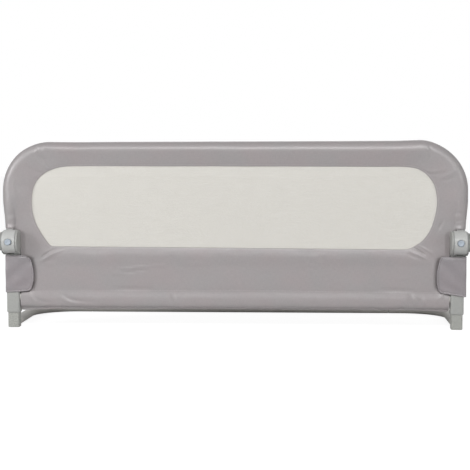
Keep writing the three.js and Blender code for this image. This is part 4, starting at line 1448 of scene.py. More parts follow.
@dataclass
class NetWindow:
    """The knitted net in the window."""

    plan: RailPlan = PLAN
    margin: float = 5 * MM
    span: Pair = (182 * MM, 384.5 * MM)
    columns: int = 240
    rows: int = 60

    def build(self) -> Piece:
        """Builds the net and dresses it.

        Returns:
            The net.
        """
        p = self.plan
        heights = np.linspace(*self.span, self.rows + 1)
        left, right = (self._half_at(sign, heights) for sign in (-1, 1))
        widths = left + right
        shares = np.linspace(0, 1, self.columns + 1)
        x = -left[:, None] + shares[None, :] * widths[:, None]
        z = np.repeat(heights[:, None], self.columns + 1, 1)
        y = p.axis_y - p.forward + 0.7 * MM * slack(x, z, 6, 9, 4.1)
        mesh = grid_mesh("net_window", np.stack([x, y, z], 2), np.stack([x, z], 2), False)
        net = new_piece("net_window", mesh)
        join_rail(net, Finish.NET, None, ("mesh_window",))
        area = float(np.sum((widths[1:] + widths[:-1]) / 2 * np.diff(heights)))
        return net

    def _half_at(self, sign: int, heights: Array) -> Array:
        """Gives the net's reach from the middle at each height, past the window's edge."""
        edge = self.plan.window_edge(sign)[1:-1]
        return np.interp(heights, edge[:, 1], edge[:, 0]) + self.margin


@dataclass
class LegFlap:
    """The cloth tab that wraps a leg under its hinge, with its inner edge over the panel.

    The edge, given as height and distance from the middle, and both runs are in mm.
    """

    side: str
    edge: Line
    ease: float
    sag: float
    plan: RailPlan = PLAN
    wall: float = 1.3 * MM
    span: Pair = (86.5 * MM, 170.6 * MM)
    cut_height: float = 85 * MM
    cut_area_height: float = 84 * MM
    sag_start: float = 480 * MM
    sag_run: float = 56 * MM
    seam_heights: Pair = (89.6 * MM, 167.6 * MM)
    leg_gap: float = 1.1 * MM
    corner: float = 4.5 * MM
    crease_step: float = 8.5 * MM
    crease_height: float = 0.77
    slack_height: float = 1.3
    bulge_height: float = 1.5
    bulge_at: Pair = (474 * MM, 9 * MM)
    roll: Triple = (1.5, 1.1 * MM, 1.1 * MM)
    groove: Triple = (0.7, 3.4 * MM, 0.9 * MM)
    rear_run: Line = ((464.5, -1.1), (484, -1.0), (497, 2), (503, 10))
    front_run: Line = ((488, -14.2), (477, -12.6), (464, -12.0))
    run_points: int = 60
    columns: int = 130
    rows: int = 76

    def build(self) -> Piece:
        """Builds the flap and dresses it.

        Returns:
            The flap.
        """
        line = self._plan_line()
        lengths = run_lengths(line)
        rows, cuts = [], []
        spread = 1 - (1 - np.linspace(0, 1, self.columns + 1)) ** 1.3
        for share in np.linspace(0, 1, self.rows + 1):
            z = self.span[0] + share * (self.span[1] - self.span[0])
            along = self._end_length(line, lengths, z) * spread
            xy = np.stack([np.interp(along, lengths, column) for column in line.T], 1)
            drop = self._droop(xy[:, 0], xy[:, 1], share)
            rows.append(np.column_stack([xy, np.full(len(xy), z) - drop]))
            cuts.append(np.column_stack([along, np.full(len(xy), z)]))
        places, cut = self._wrinkled(np.array(rows), np.array(cuts)), np.array(cuts)
        places = places * (SIDES[self.side], 1, 1) + (0, self.plan.axis_y, 0)
        if self.side == "right":
            places, cut = places[:, ::-1], cut[:, ::-1]
        name = f"{self.side}_leg_wrap"
        flap = new_piece(name, grid_mesh(name, places, cut, False))
        thicken(flap, self.wall)
        join_rail(flap, Finish.FLAP, LOWER, (f"{self.side}_leg_flap",))
        return flap

    def seams(self) -> list[Array]:
        """Lists the flap's line of topstitching, a little inside its edges.

        Returns:
            The line, as x and z.
        """
        edge = catmull(np.array(self.edge) * MM, 5)[2:-2, ::-1]
        outer = self.plan.leg + self.plan.leg_half - 3 * MM
        bottom, top = self.seam_heights
        low = [(x, bottom - self.sag * self._outward(x))
               for x in np.linspace(outer, edge[0][0] + 4 * MM, 8)]
        high = [(x, top) for x in np.linspace(edge[-1][0] + 5 * MM, outer, 8)]
        line = np.vstack([low, edge[4:-4] + (3 * MM, 0), high])
        return [line * (SIDES[self.side], 1)]

    def _plan_line(self) -> Array:
        """Gives the flap's line seen from above, from its rear end round the leg to its front.

        Returns:
            The line's points, as x and y.
        """
        back = self.plan.leg_half + self.leg_gap
        out = self.plan.leg + self.plan.leg_half + self.ease
        corner = self.corner
        rear = np.vstack([np.array(self.rear_run) * MM, (507 * MM, back)])
        beside = [(508 * MM, -back - 0.3 * MM), (500 * MM, -back + 0.5 * MM)]
        front = np.vstack([beside, np.array(self.front_run) * MM])
        turns = np.linspace(0, math.pi / 2, 7)
        sines, cosines = corner * np.sin(turns), corner * np.cos(turns)
        arc_rear = np.stack([out - corner + sines, back - corner + cosines], 1)
        arc_front = np.stack([out - corner + cosines, corner - back - sines], 1)
        runs = [at_lengths(catmull(run, 8), self.run_points) for run in (rear, front)]
        return np.vstack([runs[0], arc_rear, arc_front, runs[1]])

    def _end_length(self, line: Array, lengths: Array, z: float) -> float:
        """Gives how far along its line the flap goes at a height, to its shaped front edge.

        Args:
            line: The flap's line.
            lengths: How far along it each point lies.
            z: The height.

        Returns:
            The length.
        """
        shape = catmull(np.array(self.edge) * MM, 5)
        x = np.interp(z, shape[:, 0], shape[:, 1])
        front = slice(len(line) - self.run_points + 1, None)
        return float(np.interp(-x, -line[front, 0], lengths[front]))

    def _outward(self, x: Array | float) -> Array | float:
        """Gives 0 at the flap's free edge and 1 at the outside of the leg."""
        return np.clip((x - self.sag_start) / self.sag_run, 0, 1)

    def _droop(self, x: Array, y: Array, share: float) -> Array:
        """Gives how far the cloth hangs below an even height."""
        return smooth(-y, 6 * MM, 12 * MM) * self._outward(x) * self.sag * (1 - share) ** 1.5

    def _wrinkled(self, places: Array, cuts: Array) -> Array:
        """Moves the cloth by its wrinkles, and lets its front edge stand off the panel.

        Args:
            places: The flap's points, as rows by columns by 3.
            cuts: Their places on the cut cloth.

        Returns:
            The moved points.
        """
        x, y, z = (places[:, :, i] for i in range(3))
        rise, run = z - 86 * MM, x - 470 * MM
        low, high = rise, self.cut_height - rise
        bent = 0.8 * slack(x, z, 30, 30, 2.2)
        diagonal = np.sin((rise * 1.15 + run) / self.crease_step + bent)
        inside = smooth(run, 3 * MM, 12 * MM) * smooth(low, 0, 14 * MM) * smooth(high, 0, 16 * MM)
        creases = self.crease_height * diagonal * inside
        creases = creases + self.slack_height * slack(x, z, 26, 22, 7.5)
        middle, width = self.bulge_at
        bulge = self.bulge_height * np.exp(-(((x - middle) / width) ** 2))
        bulge = bulge * smooth(low, 4 * MM, 30 * MM) * smooth(high, 4 * MM, 30 * MM) * (y < 0)
        front = smooth(-y, 8 * MM, 12 * MM)
        out = places.copy()
        out[:, :, 1] -= (creases * front + bulge) * MM + self._rolled_hem(cuts) * front
        return out

    def _rolled_hem(self, cuts: Array) -> Array:
        """Gives the height of the rolled edge and of the groove that its stitches draw in.

        Args:
            cuts: The points' places on the cut cloth.

        Returns:
            The height at each point.
        """
        along, z = cuts[:, :, 0], cuts[:, :, 1]
        inside = np.minimum(np.minimum(along[:, -1:] - along, z - z.min()), z.max() - z)
        roll, groove = (
            height * np.exp(-(((inside - place) / width) ** 2))
            for height, place, width in (self.roll, self.groove)
        )
        return (roll - groove) * MM


LEG_FLAPS = (
    LegFlap("left", (
        (84.5, 487), (88, 480.5), (95, 475.5), (110, 471.2), (125, 470.2), (140, 472),
        (155, 476), (163, 480), (168, 487), (170, 492),
    ), ease=2.0 * MM, sag=3.5 * MM),
    LegFlap("right", (
        (84.5, 484), (88, 480), (95, 475.5), (110, 472.4), (125, 472), (140, 473.5),
        (155, 477), (162, 479), (166, 480.5), (169, 484),
    ), ease=4.6 * MM, sag=9.5 * MM),
)


def thicken(piece: Piece, wall: float) -> None:
    """Gives a thin sheet its thickness and soft edges.

    Args:
        piece: The sheet.
        wall: Its thickness, in metres.
    """
    shell = piece.modifiers.new("cloth_wall", "SOLIDIFY")
    shell.thickness, shell.offset = wall, 0
    soft = piece.modifiers.new("soft_edge", "SUBSURF")
    soft.levels = soft.render_levels = 1
    bake(piece)


def bake(piece: Piece) -> None:
    """Applies a piece's modifiers to its mesh.

    Args:
        piece: The piece.
    """
    graph = bpy.context.evaluated_depsgraph_get()
    graph.update()
    mesh = bpy.data.meshes.new_from_object(piece.evaluated_get(graph), depsgraph=graph)
    piece.modifiers.clear()
    piece.data = mesh
    mesh.polygons.foreach_set("use_smooth", [True] * len(mesh.polygons))


# Sewing
@dataclass
class Stitching:
    """A row of sewn stitches that lies on a piece of cloth, as seen from the front."""

    name: str
    cloth: Piece
    pitch: float = 3.3 * MM
    length: float = 2.4 * MM
    radius: float = 0.3 * MM
    slot: str = "cover_fabric"
    sides: int = 5
    rings: tuple[Triple, ...] = (
        (0.0, 0.35, -0.5), (0.14, 0.85, 0.2), (0.5, 1.0, 0.55), (0.86, 0.85, 0.2),
        (1.0, 0.35, -0.5),
    )

    def build(self, lines: Iterable[Array], body: str | None) -> Piece:
        """Builds the stitches along lines in the rail's plane.

        Args:
            lines: Each line's points, as x and z.
            body: The body that they ride on, or None to leave them on no body, with their place
                baked into their mesh.

        Returns:
            The stitches, as one piece.
        """
        tree = BVHTree.FromObject(self.cloth, bpy.context.evaluated_depsgraph_get())
        verts: list[Vector] = []
        faces: list[tuple[int, ...]] = []
        for line in lines:
            for x, z, dx, dz in self._steps(line):
                ends = [self._on_cloth(tree, x + side * dx, z + side * dz) for side in (-1, 1)]
                if all(ends):
                    self._add(verts, faces, ends)
        mesh = bpy.data.meshes.new(self.name)
        mesh.from_pydata([tuple(v) for v in verts], [], faces)
        layer = mesh.uv_layers.new(name=CUT_MAP)
        corners = [mesh.vertices[loop.vertex_index].co for loop in mesh.loops]
        flat = np.array([(co.x, co.z) for co in corners], np.float32)
        layer.data.foreach_set("uv", flat.ravel())
        piece = new_piece(self.name, mesh)
        join_rail(piece, Finish.THREAD, body)
        return piece

    def _steps(self, line: Array) -> Iterable[tuple[float, float, float, float]]:
        """Gives each stitch's middle and half its run.

        Args:
            line: The seam's points, as x and z.

        Returns:
            The middle's x and z and the half run's x and z, stitch by stitch.
        """
        count = max(2, round(run_lengths(line)[-1] / self.pitch))
        places = at_lengths(line, 2 * count + 1)
        for before, middle, after in zip(places[:-2:2], places[1:-1:2], places[2::2]):
            run = (after - before) * (self.length / self.pitch / 2)
            yield middle[0], middle[1], run[0], run[1]

    @staticmethod
    def _on_cloth(tree: BVHTree, x: float, z: float) -> tuple[Vector, Vector] | None:
        """Finds the cloth's surface in front of a place, and the way it faces."""
        place, facing, _, _ = tree.ray_cast(Vector((x, -1.0, z)), Vector((0, 1, 0)))
        return None if place is None else (place, -facing if facing.y > 0 else facing)

    def _add(
        self, verts: list[Vector], faces: list[tuple[int, ...]], ends: list[tuple[Vector, Vector]],
    ) -> None:
        """Adds one stitch: a short thread whose ends dip into the cloth.

        Args:
            verts: The points so far, which grow.
            faces: The faces so far, which grow.
            ends: Where the stitch starts and ends, each a place and the way the cloth faces.
        """
        (a, up), (b, _) = ends
        along = b - a
        side = along.cross(up).normalized()
        faces.extend(band(len(verts), self.sides, len(self.rings)))
        for share, thick, rise in self.rings:
            middle = a + along * share + up * (self.radius * rise)
            for k in range(self.sides):
                turn = 2 * math.pi * k / self.sides
                out = side * math.cos(turn) + up * math.sin(turn)
                verts.append(middle + out * (self.radius * thick))


# Hard pieces
@dataclass
class Form:
    """A closed mesh under construction: its points and faces."""

    verts: list[Triple] = field(default_factory=list)
    faces: list[tuple[int, ...]] = field(default_factory=list)

    def add(self, other: "Form") -> "Form":
        """Puts another closed mesh beside this one.

        Args:
            other: The other mesh.

        Returns:
            This mesh, with the other in it.
        """
        shift = len(self.verts)
        self.verts.extend(other.verts)
        self.faces.extend(tuple(i + shift for i in face) for face in other.faces)
        return self

    def moved(self, x: float = 0, y: float = 0, z: float = 0) -> "Form":
        """Gives the mesh moved by a distance in mm."""
        return Form([(a + x, b + y, c + z) for a, b, c in self.verts], self.faces)

    def mesh(self, name: str, sign: int, shift: Triple) -> bpy.types.Mesh:
        """Makes the Blender mesh, on the left or right side.

        Args:
            name: The mesh's name.
            sign: -1 turns the form over to the left side.
            shift: Where the form's origin goes, in mm.

        Returns:
            The mesh, in metres.
        """
        mesh = bpy.data.meshes.new(name)
        along, across, up = shift
        places = [
            (sign * (x + along) * MM, (y + across) * MM + PLAN.axis_y, (z + up) * MM)
            for x, y, z in self.verts
        ]
        faces = self.faces if sign > 0 else [face[::-1] for face in self.faces]
        mesh.from_pydata(places, [], faces)
        return mesh


AXES = {
    "x": lambda a, b, along: (along, a, b),
    "y": lambda a, b, along: (b, along, a),
    "z": lambda a, b, along: (a, b, along),
}


def band(first: int, count: int, rings: int, flipped: bool = False) -> list[tuple[int, ...]]:
    """Gives the faces between rings of points that follow one another.

    Args:
        first: The first point's number.
        count: The number of points in a ring.
        rings: The number of rings.
        flipped: Whether the faces look the other way.

    Returns:
        The faces.
    """
    faces = []
    for i in range(rings - 1):
        low, high = first + i * count, first + (i + 1) * count
        for k in range(count):
            after = (k + 1) % count
            face = (low + k, low + after, high + after, high + k)
            faces.append((face[0], *face[:0:-1]) if flipped else face)
    return faces


def skin(count: int, rings: int, flipped: bool = False) -> list[tuple[int, ...]]:
    """Gives the faces of a closed form: the bands between its rings and its two ends.

    Args:
        count: The number of points in a ring.
        rings: The number of rings.
        flipped: Whether the faces look the other way.

    Returns:
        The faces.
    """
    low, high = tuple(range(count)), tuple(range((rings - 1) * count, rings * count))
    ends = [low, high[::-1]] if flipped else [low[::-1], high]
    return [*band(0, count, rings, flipped), *ends]


def ringed(rings: Sequence[Array], alongs: Sequence[float], axis: str) -> Form:
    """Makes a closed form from rings of points that lie across an axis.

    Args:
        rings: The rings, each with the same number of points.
        alongs: Each ring's place along the axis.
        axis: The axis, x, y or z.

    Returns:
        The form, with flat ends.
    """
    place = AXES[axis]
    placed = zip(rings, alongs)
    verts = [place(float(a), float(b), along) for ring, along in placed for a, b in ring]
    return Form(verts, skin(len(rings[0]), len(rings)))


def disc(radius: float, low: float, high: float) -> list[Pair]:
    """Gives the profile of a plain round block."""
    return [(0, low), (radius, low), (radius, high), (0, high)]


def turned(profile: Sequence[Pair], axis: str, sides: int = 72) -> Form:
    """Turns a profile of radius and place round an axis.

    Args:
        profile: The points, each a radius and a place along the axis.
        axis: The axis, x, y or z.
        sides: The number of sides.

    Returns:
        The form.
    """
    turns = 2 * math.pi * np.arange(sides) / sides
    circle = np.stack([np.cos(turns), np.sin(turns)], 1)
    rings = [max(radius, 0.02) * circle for radius, _ in profile]
    return ringed(rings, [along for _, along in profile], axis)


def soft_prism(outline: Array, span: Pair, axis: str, ends: Pair) -> Form:
    """Makes a prism whose two end faces have rounded edges.

    Args:
        outline: The outline's points, counter-clockwise.
        span: Where the prism starts and ends along its axis.
        axis: The axis, x, y or z.
        ends: The edge radius at the start and at the end.

    Returns:
        The form.
    """
    pairs = []
    for place, step, radius in zip(span, (1, -1), ends):
        turns = np.linspace(0, math.pi / 2, 6) if radius else np.array([math.pi / 2])
        pairs += [
            (inset(outline, radius * (1 - math.sin(t))), place + step * radius * (1 - math.cos(t)))
            for t in turns[::step]
        ]
    return ringed([ring for ring, _ in pairs], [along for _, along in pairs], axis)


def inset(outline: Array, distance: float) -> Array:
    """Moves a closed outline inward by a distance.

    Args:
        outline: The outline's points, counter-clockwise.
        distance: How far they move.

    Returns:
        The smaller outline.
    """
    if not distance:
        return outline
    before, after = np.roll(outline, 1, 0), np.roll(outline, -1, 0)
    arriving = (outline - before) / np.linalg.norm(outline - before, axis=1)[:, None]
    leaving = (after - outline) / np.linalg.norm(after - outline, axis=1)[:, None]
    normal = np.stack([-(arriving + leaving)[:, 1], (arriving + leaving)[:, 0]], 1)
    normal /= np.linalg.norm(normal, axis=1)[:, None]
    spread = np.clip(normal[:, 0] * -arriving[:, 1] + normal[:, 1] * arriving[:, 0], 0.5, 1)
    return outline + normal * (distance / spread)[:, None]


def rounded_square(half: float, corner: float, steps: int = 8) -> Array:
    """Gives a square outline with rounded corners.

    Args:
        half: Half the square's side.
        corner: The corners' radius.
        steps: The points at each corner.

    Returns:
        The outline's points.
    """
    points = []
    for k in range(4):
        turns = k * math.pi / 2 + np.linspace(0, math.pi / 2, steps)
        middle = (half - corner) * np.array((1 if k in (0, 3) else -1, 1 if k in (0, 1) else -1))
        points.append(middle + corner * np.stack([np.cos(turns), np.sin(turns)], 1))
    return np.vstack(points)


def box(low: Sequence[float], high: Sequence[float]) -> Form:
    """Makes a plain block between two corners.

    Args:
        low: The lowest corner.
        high: The highest corner.

    Returns:
        The form.
    """
    (x0, y0, z0), (x1, y1, z1) = low, high
    ring = np.array([(x0, y0), (x1, y0), (x1, y1), (x0, y1)])
    return ringed([ring, ring], [z0, z1], "z")


@dataclass
class Moulding:
    """A moulded piece: forms that are joined and cut, with softened edges."""

    name: str
    body: str
    finish: Finish
    slot: str
    stands_for: tuple[str, ...]
    voxel: float = 0.8
    rounds: int = 4

    def build(self, solids: Form, cuts: Sequence[Form], sign: int, shift: Triple) -> Piece:
        """Builds the piece and dresses it.

        Args:
            solids: The closed forms that are joined.
            cuts: The closed forms that are cut away, one after the other.
            sign: -1 for the left side, 1 for the right.
            shift: Where the forms' origin goes, in mm.

        Returns:
            The piece.
        """
        piece = new_piece(self.name, solids.mesh(self.name, sign, shift))
        self._remesh(piece)
        for cut in cuts:
            tool = new_piece("cutting_tool", cut.mesh("cutting_tool", sign, shift))
            carve = piece.modifiers.new("carve", "BOOLEAN")
            carve.operation, carve.solver, carve.object = "DIFFERENCE", "MANIFOLD", tool
            bake(piece)
            bpy.data.objects.remove(tool)
        if cuts:
            self._remesh(piece)
        soft = piece.modifiers.new("soft_edges", "SMOOTH")
        soft.factor, soft.iterations = 0.5, self.rounds
        bake(piece)
        join_rail(piece, self.finish, self.body, self.stands_for)
        return piece

    def _remesh(self, piece: Piece) -> None:
        """Turns overlapping forms into one even skin.

        Args:
            piece: The piece.
        """
        even = piece.modifiers.new("skin", "REMESH")
        even.mode, even.voxel_size = "VOXEL", self.voxel * MM
        bake(piece)


@dataclass
class HingeEnd:
    """The moulded pieces at one end of the rail: leg casing, hinge and foot.

    Sizes are in mm. Lines are radius and place along their axis, from the given face.
    """

    side: str
    upright: float = 524.5
    hinge_y: float = -24
    hinge_z: float = 204
    barrel: float = 27.5
    barrel_span: Pair = (-16.8, 15.2)
    barrel_bead: Line = ((-1.2, 0), (-0.1, 0.5), (0.35, 1.4), (0.35, 3.2), (-0.1, 4))
    barrel_crown: Pair = (3.6, 8)
    ear_gaps: Pair = (-17.3, 15.7)
    ear_backs: Pair = (-22.2, 19.0)
    ear_disc: float = 23.6
    ear_arc: Pair = (math.radians(62), math.radians(262))
    barrel_clear: float = 0.8
    pin: float = 3.0
    hub: float = 7.9
    hub_end: float = 4.9
    hub_groove: Pair = (-6, 2)
    groove_depth: float = 2.1
    chamfer: float = 0.5
    socket: float = 13.2
    socket_span: Pair = (210, 262)
    socket_chamfer: float = 1.5
    web_half: float = 6.5
    web_guides: Line = ((-12.2, 236.5), (-12.2, 232.8), (-20, 230.8), (-30, 230))
    web_bottom: float = 212
    head_bottom: float = 172
    leg_half: float = 15.5
    leg_bottom: float = 35
    leg_inset: float = 5
    button_x: float = -1.3
    button: float = 7.25
    button_face: float = -54
    button_hole: Triple = (7.7, -60, -38)
    button_bezel: Line = ((0, -5), (11.2, -5), (9.4, 1.3), (0, 1.3))
    button_dish: Line = ((0, 0.9), (2.5, 0.75), (4.4, 0.3), (5.3, 0.02), (6.2, 0.12), (6.9, 0.5))
    button_flange: Line = ((9, 8), (9, 10), (4, 10), (4, 14), (0, 14))
    cap: float = 22
    cap_rise: float = 5.2
    post_half: float = 13.25
    post_top: float = 57
    collar: Line = ((0, 0), (12.6, 0), (12.6, 15.4), (11.6, 16.4), (0, 16.4))
    collar_height: float = 12.7

    def build(self) -> None:
        """Builds every piece of this end."""
        for make in (self._casing, self._knuckle, self._cap, self._axle, self._button, self._foot):
            make()

    def _mould(
        self, part: Moulding, solids: Form, cuts: Sequence[Form] = (), inward: float = 0,
    ) -> None:
        """Builds a moulded piece on this side.

        Args:
            part: The piece's name, body, finish and the nodes that it stands for.
            solids: The forms that are joined.
            cuts: The forms that are cut away.
            inward: How far from the upright tube's axis its middle lies.
        """
        part.name = f"{self.side}_{part.name}"
        part.stands_for = tuple(f"{self.side}_{node}" for node in part.stands_for)
        part.build(solids, cuts, SIDES[self.side], (self.upright - inward, 0, 0))

    def _turned_piece(self, name: str, form: Form, finish: Finish, body: str) -> None:
        """Builds a turned piece with crisp edges. Its name starts with what it is made of.

        Args:
            name: What it is made of or does, and then its node's name without the side.
            form: The turned form.
            finish: Its finish.
            body: The body that it rides on.
        """
        name, node = f"{self.side}_{name}", f"{self.side}_{name.split('_', 1)[1]}"
        piece = new_piece(name, form.mesh(name, SIDES[self.side], (self.upright, 0, 0)))
        crisp(piece, 40)
        join_rail(piece, finish, body, (node,))

    def _at_hinge(self, form: Form) -> Form:
        """Moves a form from the hinge's axis to its place."""
        return form.moved(0, self.hinge_y, self.hinge_z)

    def _at_button(self, line: Sequence[Pair], sides: int = 72) -> Form:
        """Turns a line round the button's axis."""
        return turned(line, "y", sides).moved(self.button_x, 0, self.hinge_z)

    def _axle(self) -> None:
        """Builds the pivot pin and the hub that the lock's tooth holds."""
        low, high = self.ear_backs[0] + 0.4, self.ear_backs[1] - 0.2
        r, hub, c, bore = self.pin, self.hub, self.chamfer, self.pin + 0.1
        pin = [(0, low), (r - c, low), (r, low + c), (r, high - c), (r - c, high), (0, high)]
        start, end = self.hub_groove
        neck = hub - self.groove_depth
        ring = [
            (bore, low), (hub - c, low), (hub, low + c), (hub, start), (neck, start), (neck, end),
            (hub, end), (hub, self.hub_end), (bore, self.hub_end),
        ]
        for name, line in (("steel_pivot_pin", pin), ("steel_lock_hub", ring)):
            form = self._at_hinge(turned(line, "x", 64))
            self._turned_piece(name, form, Finish.STEEL, LOWER)

    def _knuckle(self) -> None:
        """Builds the barrel with its socket, its web and the recess round the button."""
        low, high = self.barrel_span
        bead = [(self.barrel + out, low + up) for out, up in self.barrel_bead]
        fall, length = self.barrel_crown
        crown = [(self.barrel - fall * (1 - math.cos(t)), high - length * (1 - math.sin(t)))
                 for t in np.linspace(0, math.pi / 2, 9)]
        barrel = turned([(0, low), *bead, *crown, (0, high)], "x", 120)
        bottom, top = self.socket_span
        c, r = self.socket_chamfer, self.socket
        socket = [
            (0, bottom), (r - c, bottom), (r, bottom + c), (r, top - c), (r - c, top), (0, top),
        ]
        curve = bezier(self.web_guides, 10)
        (_, rise), (run, _) = self.web_guides[0], self.web_guides[-1]
        outline = [(0, self.web_bottom), (0, rise), *curve.tolist(), (run, self.web_bottom)]
        outline = np.array(outline)[::-1]
        web = soft_prism(outline, (-self.web_half, self.web_half), "x", (2.0, 2.0))
        solids = self._at_hinge(barrel).add(turned(socket, "z", 64)).add(web)
        face = self.hinge_y - self.barrel
        bezel = [(out, face + up) for out, up in self.button_bezel]
        cuts = (self._at_button(disc(*self.button_hole)), self._at_button(bezel))
        part = Moulding("hinge_barrel", UPPER, Finish.KNUCKLE, "knuckle_plastic",
                        ("knuckle", "knuckle_front"), 0.7, 6)
        self._mould(part, solids, cuts)

    def _casing(self) -> None:
        """Builds the leg casing with its two ears."""
        span = (self.leg_bottom, self.head_bottom + 8)
        leg = soft_prism(rounded_square(self.leg_half, 5), span, "z", (2.4, 0))
        head = soft_prism(self._ear_outline(), self.ear_backs, "x", (2.6, 2.6))
        (low, ear), clear = self.ear_gaps, self.barrel + self.barrel_clear
        slot = self._at_hinge(turned(disc(clear, low, ear), "x", 120))
        over = box((low, self.hinge_y - clear, self.socket_span[0] - 0.3), (ear, 31, 240))
        reach = math.hypot(self.barrel + 2.5, self.button - 2) + 0.9
        half = self.button + 0.8
        track = turned(disc(reach, self.button_x - half, self.button_x + half), "x", 96)
        r = self.ear_disc
        step = [(r, ear - 1), (40, ear - 1), (40, 40), (r - 2.2, 40), (r - 2.0, 18.8), (r, 17.2)]
        part = Moulding("leg_shell", LOWER, Finish.CASING, "casing_plastic", ("leg_casing",))
        part.rounds = 9
        cuts = (slot, over, self._at_hinge(track), self._at_hinge(self._arc(step)))
        self._mould(part, leg.moved(-self.leg_inset, 0, 0).add(head), cuts)

    def _arc(self, line: Sequence[Pair]) -> Form:
        """Sweeps a closed line part of the way round the hinge's axis.

        Args:
            line: The line's points.

        Returns:
            The swept form, closed at both ends.
        """
        turns = np.linspace(*self.ear_arc, 72)
        verts = [(along, radius * math.cos(turn), radius * math.sin(turn))
                 for turn in turns for radius, along in line]
        return Form(verts, skin(len(line), len(turns), flipped=True))

    def _ear_outline(self) -> Array:
        """Gives the side view of the ears: a disc on a rear wall, as y and z.

        Returns:
            The outline's points.
        """
        back, shoulder = self.leg_half, math.pi / 3
        centre = np.array((self.hinge_y, self.hinge_z))
        turns = np.linspace(shoulder, 1.5 * math.pi, 40)
        arc = centre + self.barrel * np.stack([np.cos(turns), np.sin(turns)], 1)
        low, bend = np.array((back, self.head_bottom + 28)), np.array((back, arc[0, 1] - 1.5))
        t = np.linspace(0, 1, 9)[:, None]
        curve = (1 - t) ** 2 * low + 2 * t * (1 - t) * bend + t**2 * arc[0]
        return np.vstack([[(back, self.head_bottom)], curve, arc[1:], [(-12, self.head_bottom)]])

    def _cap(self) -> None:
        """Builds the domed cap on the outer ear."""
        start, r, c = self.ear_backs[1] + 0.3, self.cap, self.chamfer
        dome = [(r * math.cos(t) ** 0.8, start + 0.8 + self.cap_rise * math.sin(t))
                for t in np.linspace(0, math.pi / 2, 14)[:-1]]
        top = (0, start + 0.8 + self.cap_rise)
        line = [(0, start), (r - 0.6, start), (r, start + c), *dome, top]
        part = Moulding("hinge_dome", LOWER, Finish.CASING, "casing_plastic",
                        ("hinge_cap",), 0.9, 2)
        self._mould(part, self._at_hinge(turned(line, "x", 96)))

    def _button(self) -> None:
        """Builds the release button, with a shallow dish for the finger."""
        side = [(self.button, 1.2), (self.button, 8)]
        line = (*self.button_dish, *side, *self.button_flange)
        form = self._at_button([(r, self.button_face + up) for r, up in line])
        body = f"{self.side}_button_unit"
        self._turned_piece("press_button", form, Finish.BUTTON, body)

    def _foot(self) -> None:
        """Builds the foot post with the spigot that carries the base tube."""
        post = soft_prism(rounded_square(self.post_half, 4), (0, self.post_top), "z", (1.6, 1.0))
        collar = turned(self.collar, "y", 64).moved(0, 0, self.collar_height)
        part = Moulding("foot_post", LOWER, Finish.FOOT, "foot_plastic", ("foot",), 0.8, 3)
        self._mould(part, post.add(collar), (), self.leg_inset)


def crisp(piece: Piece, degrees: float) -> None:
    """Shades round faces smoothly and keeps edges crisp.

    Args:
        piece: The piece.
        degrees: The angle from which an edge stays crisp.
    """
    piece.data.polygons.foreach_set("use_smooth", [True] * len(piece.data.polygons))
    split = piece.modifiers.new("crisp_edges", "EDGE_SPLIT")
    split.split_angle = math.radians(degrees)


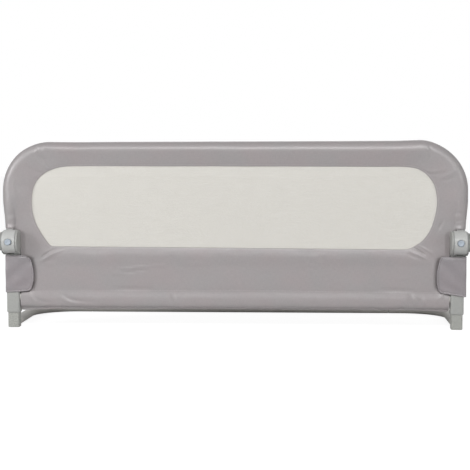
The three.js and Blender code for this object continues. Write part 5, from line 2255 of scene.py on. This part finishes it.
@dataclass
class BaseTubes:
    """The painted tubes that go under the mattress, and the bar in the hem. Sizes are in mm."""

    radius: float = 11
    sides: int = 40
    soft_end: float = 0.6
    arm_x: float = 519.5
    start_y: float = 16.7
    depth: float = 295
    bend: float = 108
    joint: float = 379.5
    joint_gap: float = 0.25
    bar_height: float = 72
    bar_end: float = 517

    def build(self) -> None:
        """Builds the two arms, the cross tube and the bar."""
        turns = np.linspace(0, math.pi / 2, 40)
        across = self.arm_x - self.bend + self.bend * np.cos(turns)
        along = self.depth - self.bend + self.bend * np.sin(turns)
        end = (self.joint + self.joint_gap, self.depth)
        line = [(self.arm_x, self.start_y), *zip(across, along), end]
        for side, sign in SIDES.items():
            arm = [(sign * x, y, self.radius) for x, y in line]
            self._tube(f"{side}_base_tube", arm, f"{side}_base_arm")
        joint = self.joint - self.joint_gap
        ends = [(sign * joint, self.depth, self.radius) for sign in (-1, 1)]
        self._tube("rear_base_tube", ends, "base_cross_tube")
        bar = [(sign * self.bar_end, 0, self.bar_height) for sign in (-1, 1)]
        self._tube("hem_bar", bar, "lower_cross_bar")

    def _tube(self, name: str, line: Sequence[Triple], node: str) -> None:
        """Builds one round tube along a line, with softened ends.

        Args:
            name: The tube's name.
            line: The points of its middle line.
            node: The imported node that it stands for.
        """
        points = [Vector(p) for p in line]
        tips = [
            a + self.soft_end * (b - a).normalized()
            for a, b in ((points[0], points[1]), (points[-1], points[-2]))
        ]
        points = [points[0], tips[0], *points[1:-1], tips[1], points[-1]]
        up = Vector((0, 0, 1))
        verts = []
        for i, point in enumerate(points):
            at_end = i in (0, len(points) - 1)
            radius = self.radius - self.soft_end if at_end else self.radius
            along = (points[min(i + 1, len(points) - 1)] - points[max(i - 1, 0)]).normalized()
            side = along.cross(up)
            for turn in 2 * math.pi * np.arange(self.sides) / self.sides:
                verts.append(tuple(point + radius * (math.cos(turn) * side + math.sin(turn) * up)))
        form = Form(verts, skin(self.sides, len(points), flipped=True))
        tube = new_piece(name, form.mesh(name, 1, (0, 0, 0)))
        crisp(tube, 35)
        join_rail(tube, Finish.PAINT, LOWER, (node,))


@dataclass(frozen=True)
class Hardware:
    """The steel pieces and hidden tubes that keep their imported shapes."""

    travel: float = 4 * MM
    painted: tuple[str, ...] = ("upper_tube",)
    plated: tuple[str, ...] = ("lock_slider", "button_spring", "foot_screw", "tube_screw")

    def dress_all(self) -> None:
        """Gives every kept piece its finish and smooth shading."""
        finishes = {name: Finish.PAINT for name in self.painted}
        finishes |= {name: Finish.STEEL for name in self.plated}
        named = {f"{side}_{name}": finish for side in SIDES for name, finish in finishes.items()}
        for name, finish in {**named, "top_tube": Finish.PAINT}.items():
            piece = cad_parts[name]
            dress(piece, finish)
            crisp(piece, 32)
            if name.endswith("button_spring"):
                self._press(piece, name.replace("_spring", "_press"))
            LOG.info("%s: %s", name, finish.name)

    def _press(self, spring: Piece, joint: str) -> None:
        """Gives a spring its own copy of its mesh.

        Args:
            spring: The spring's piece.
            joint: Not used.
        """
        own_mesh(spring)


def main() -> None:
    """Builds the camera, the studio and every piece."""
    logging.basicConfig(level=logging.INFO, format="%(name)s %(message)s")
    PhotoCamera().build()
    Studio().build()
    cover = Cover()
    Stitching("cover_stitches", cover.build()).build(cover.seams(), None)
    NetWindow().build()
    for tab in LEG_FLAPS:
        rows = Stitching(f"{tab.side}_flap_stitches", tab.build(), slot="flap_fabric")
        rows.build(tab.seams(), LOWER)
        HingeEnd(tab.side).build()
    BaseTubes().build()
    Hardware().dress_all()


if __name__ == "__main__":
    main()
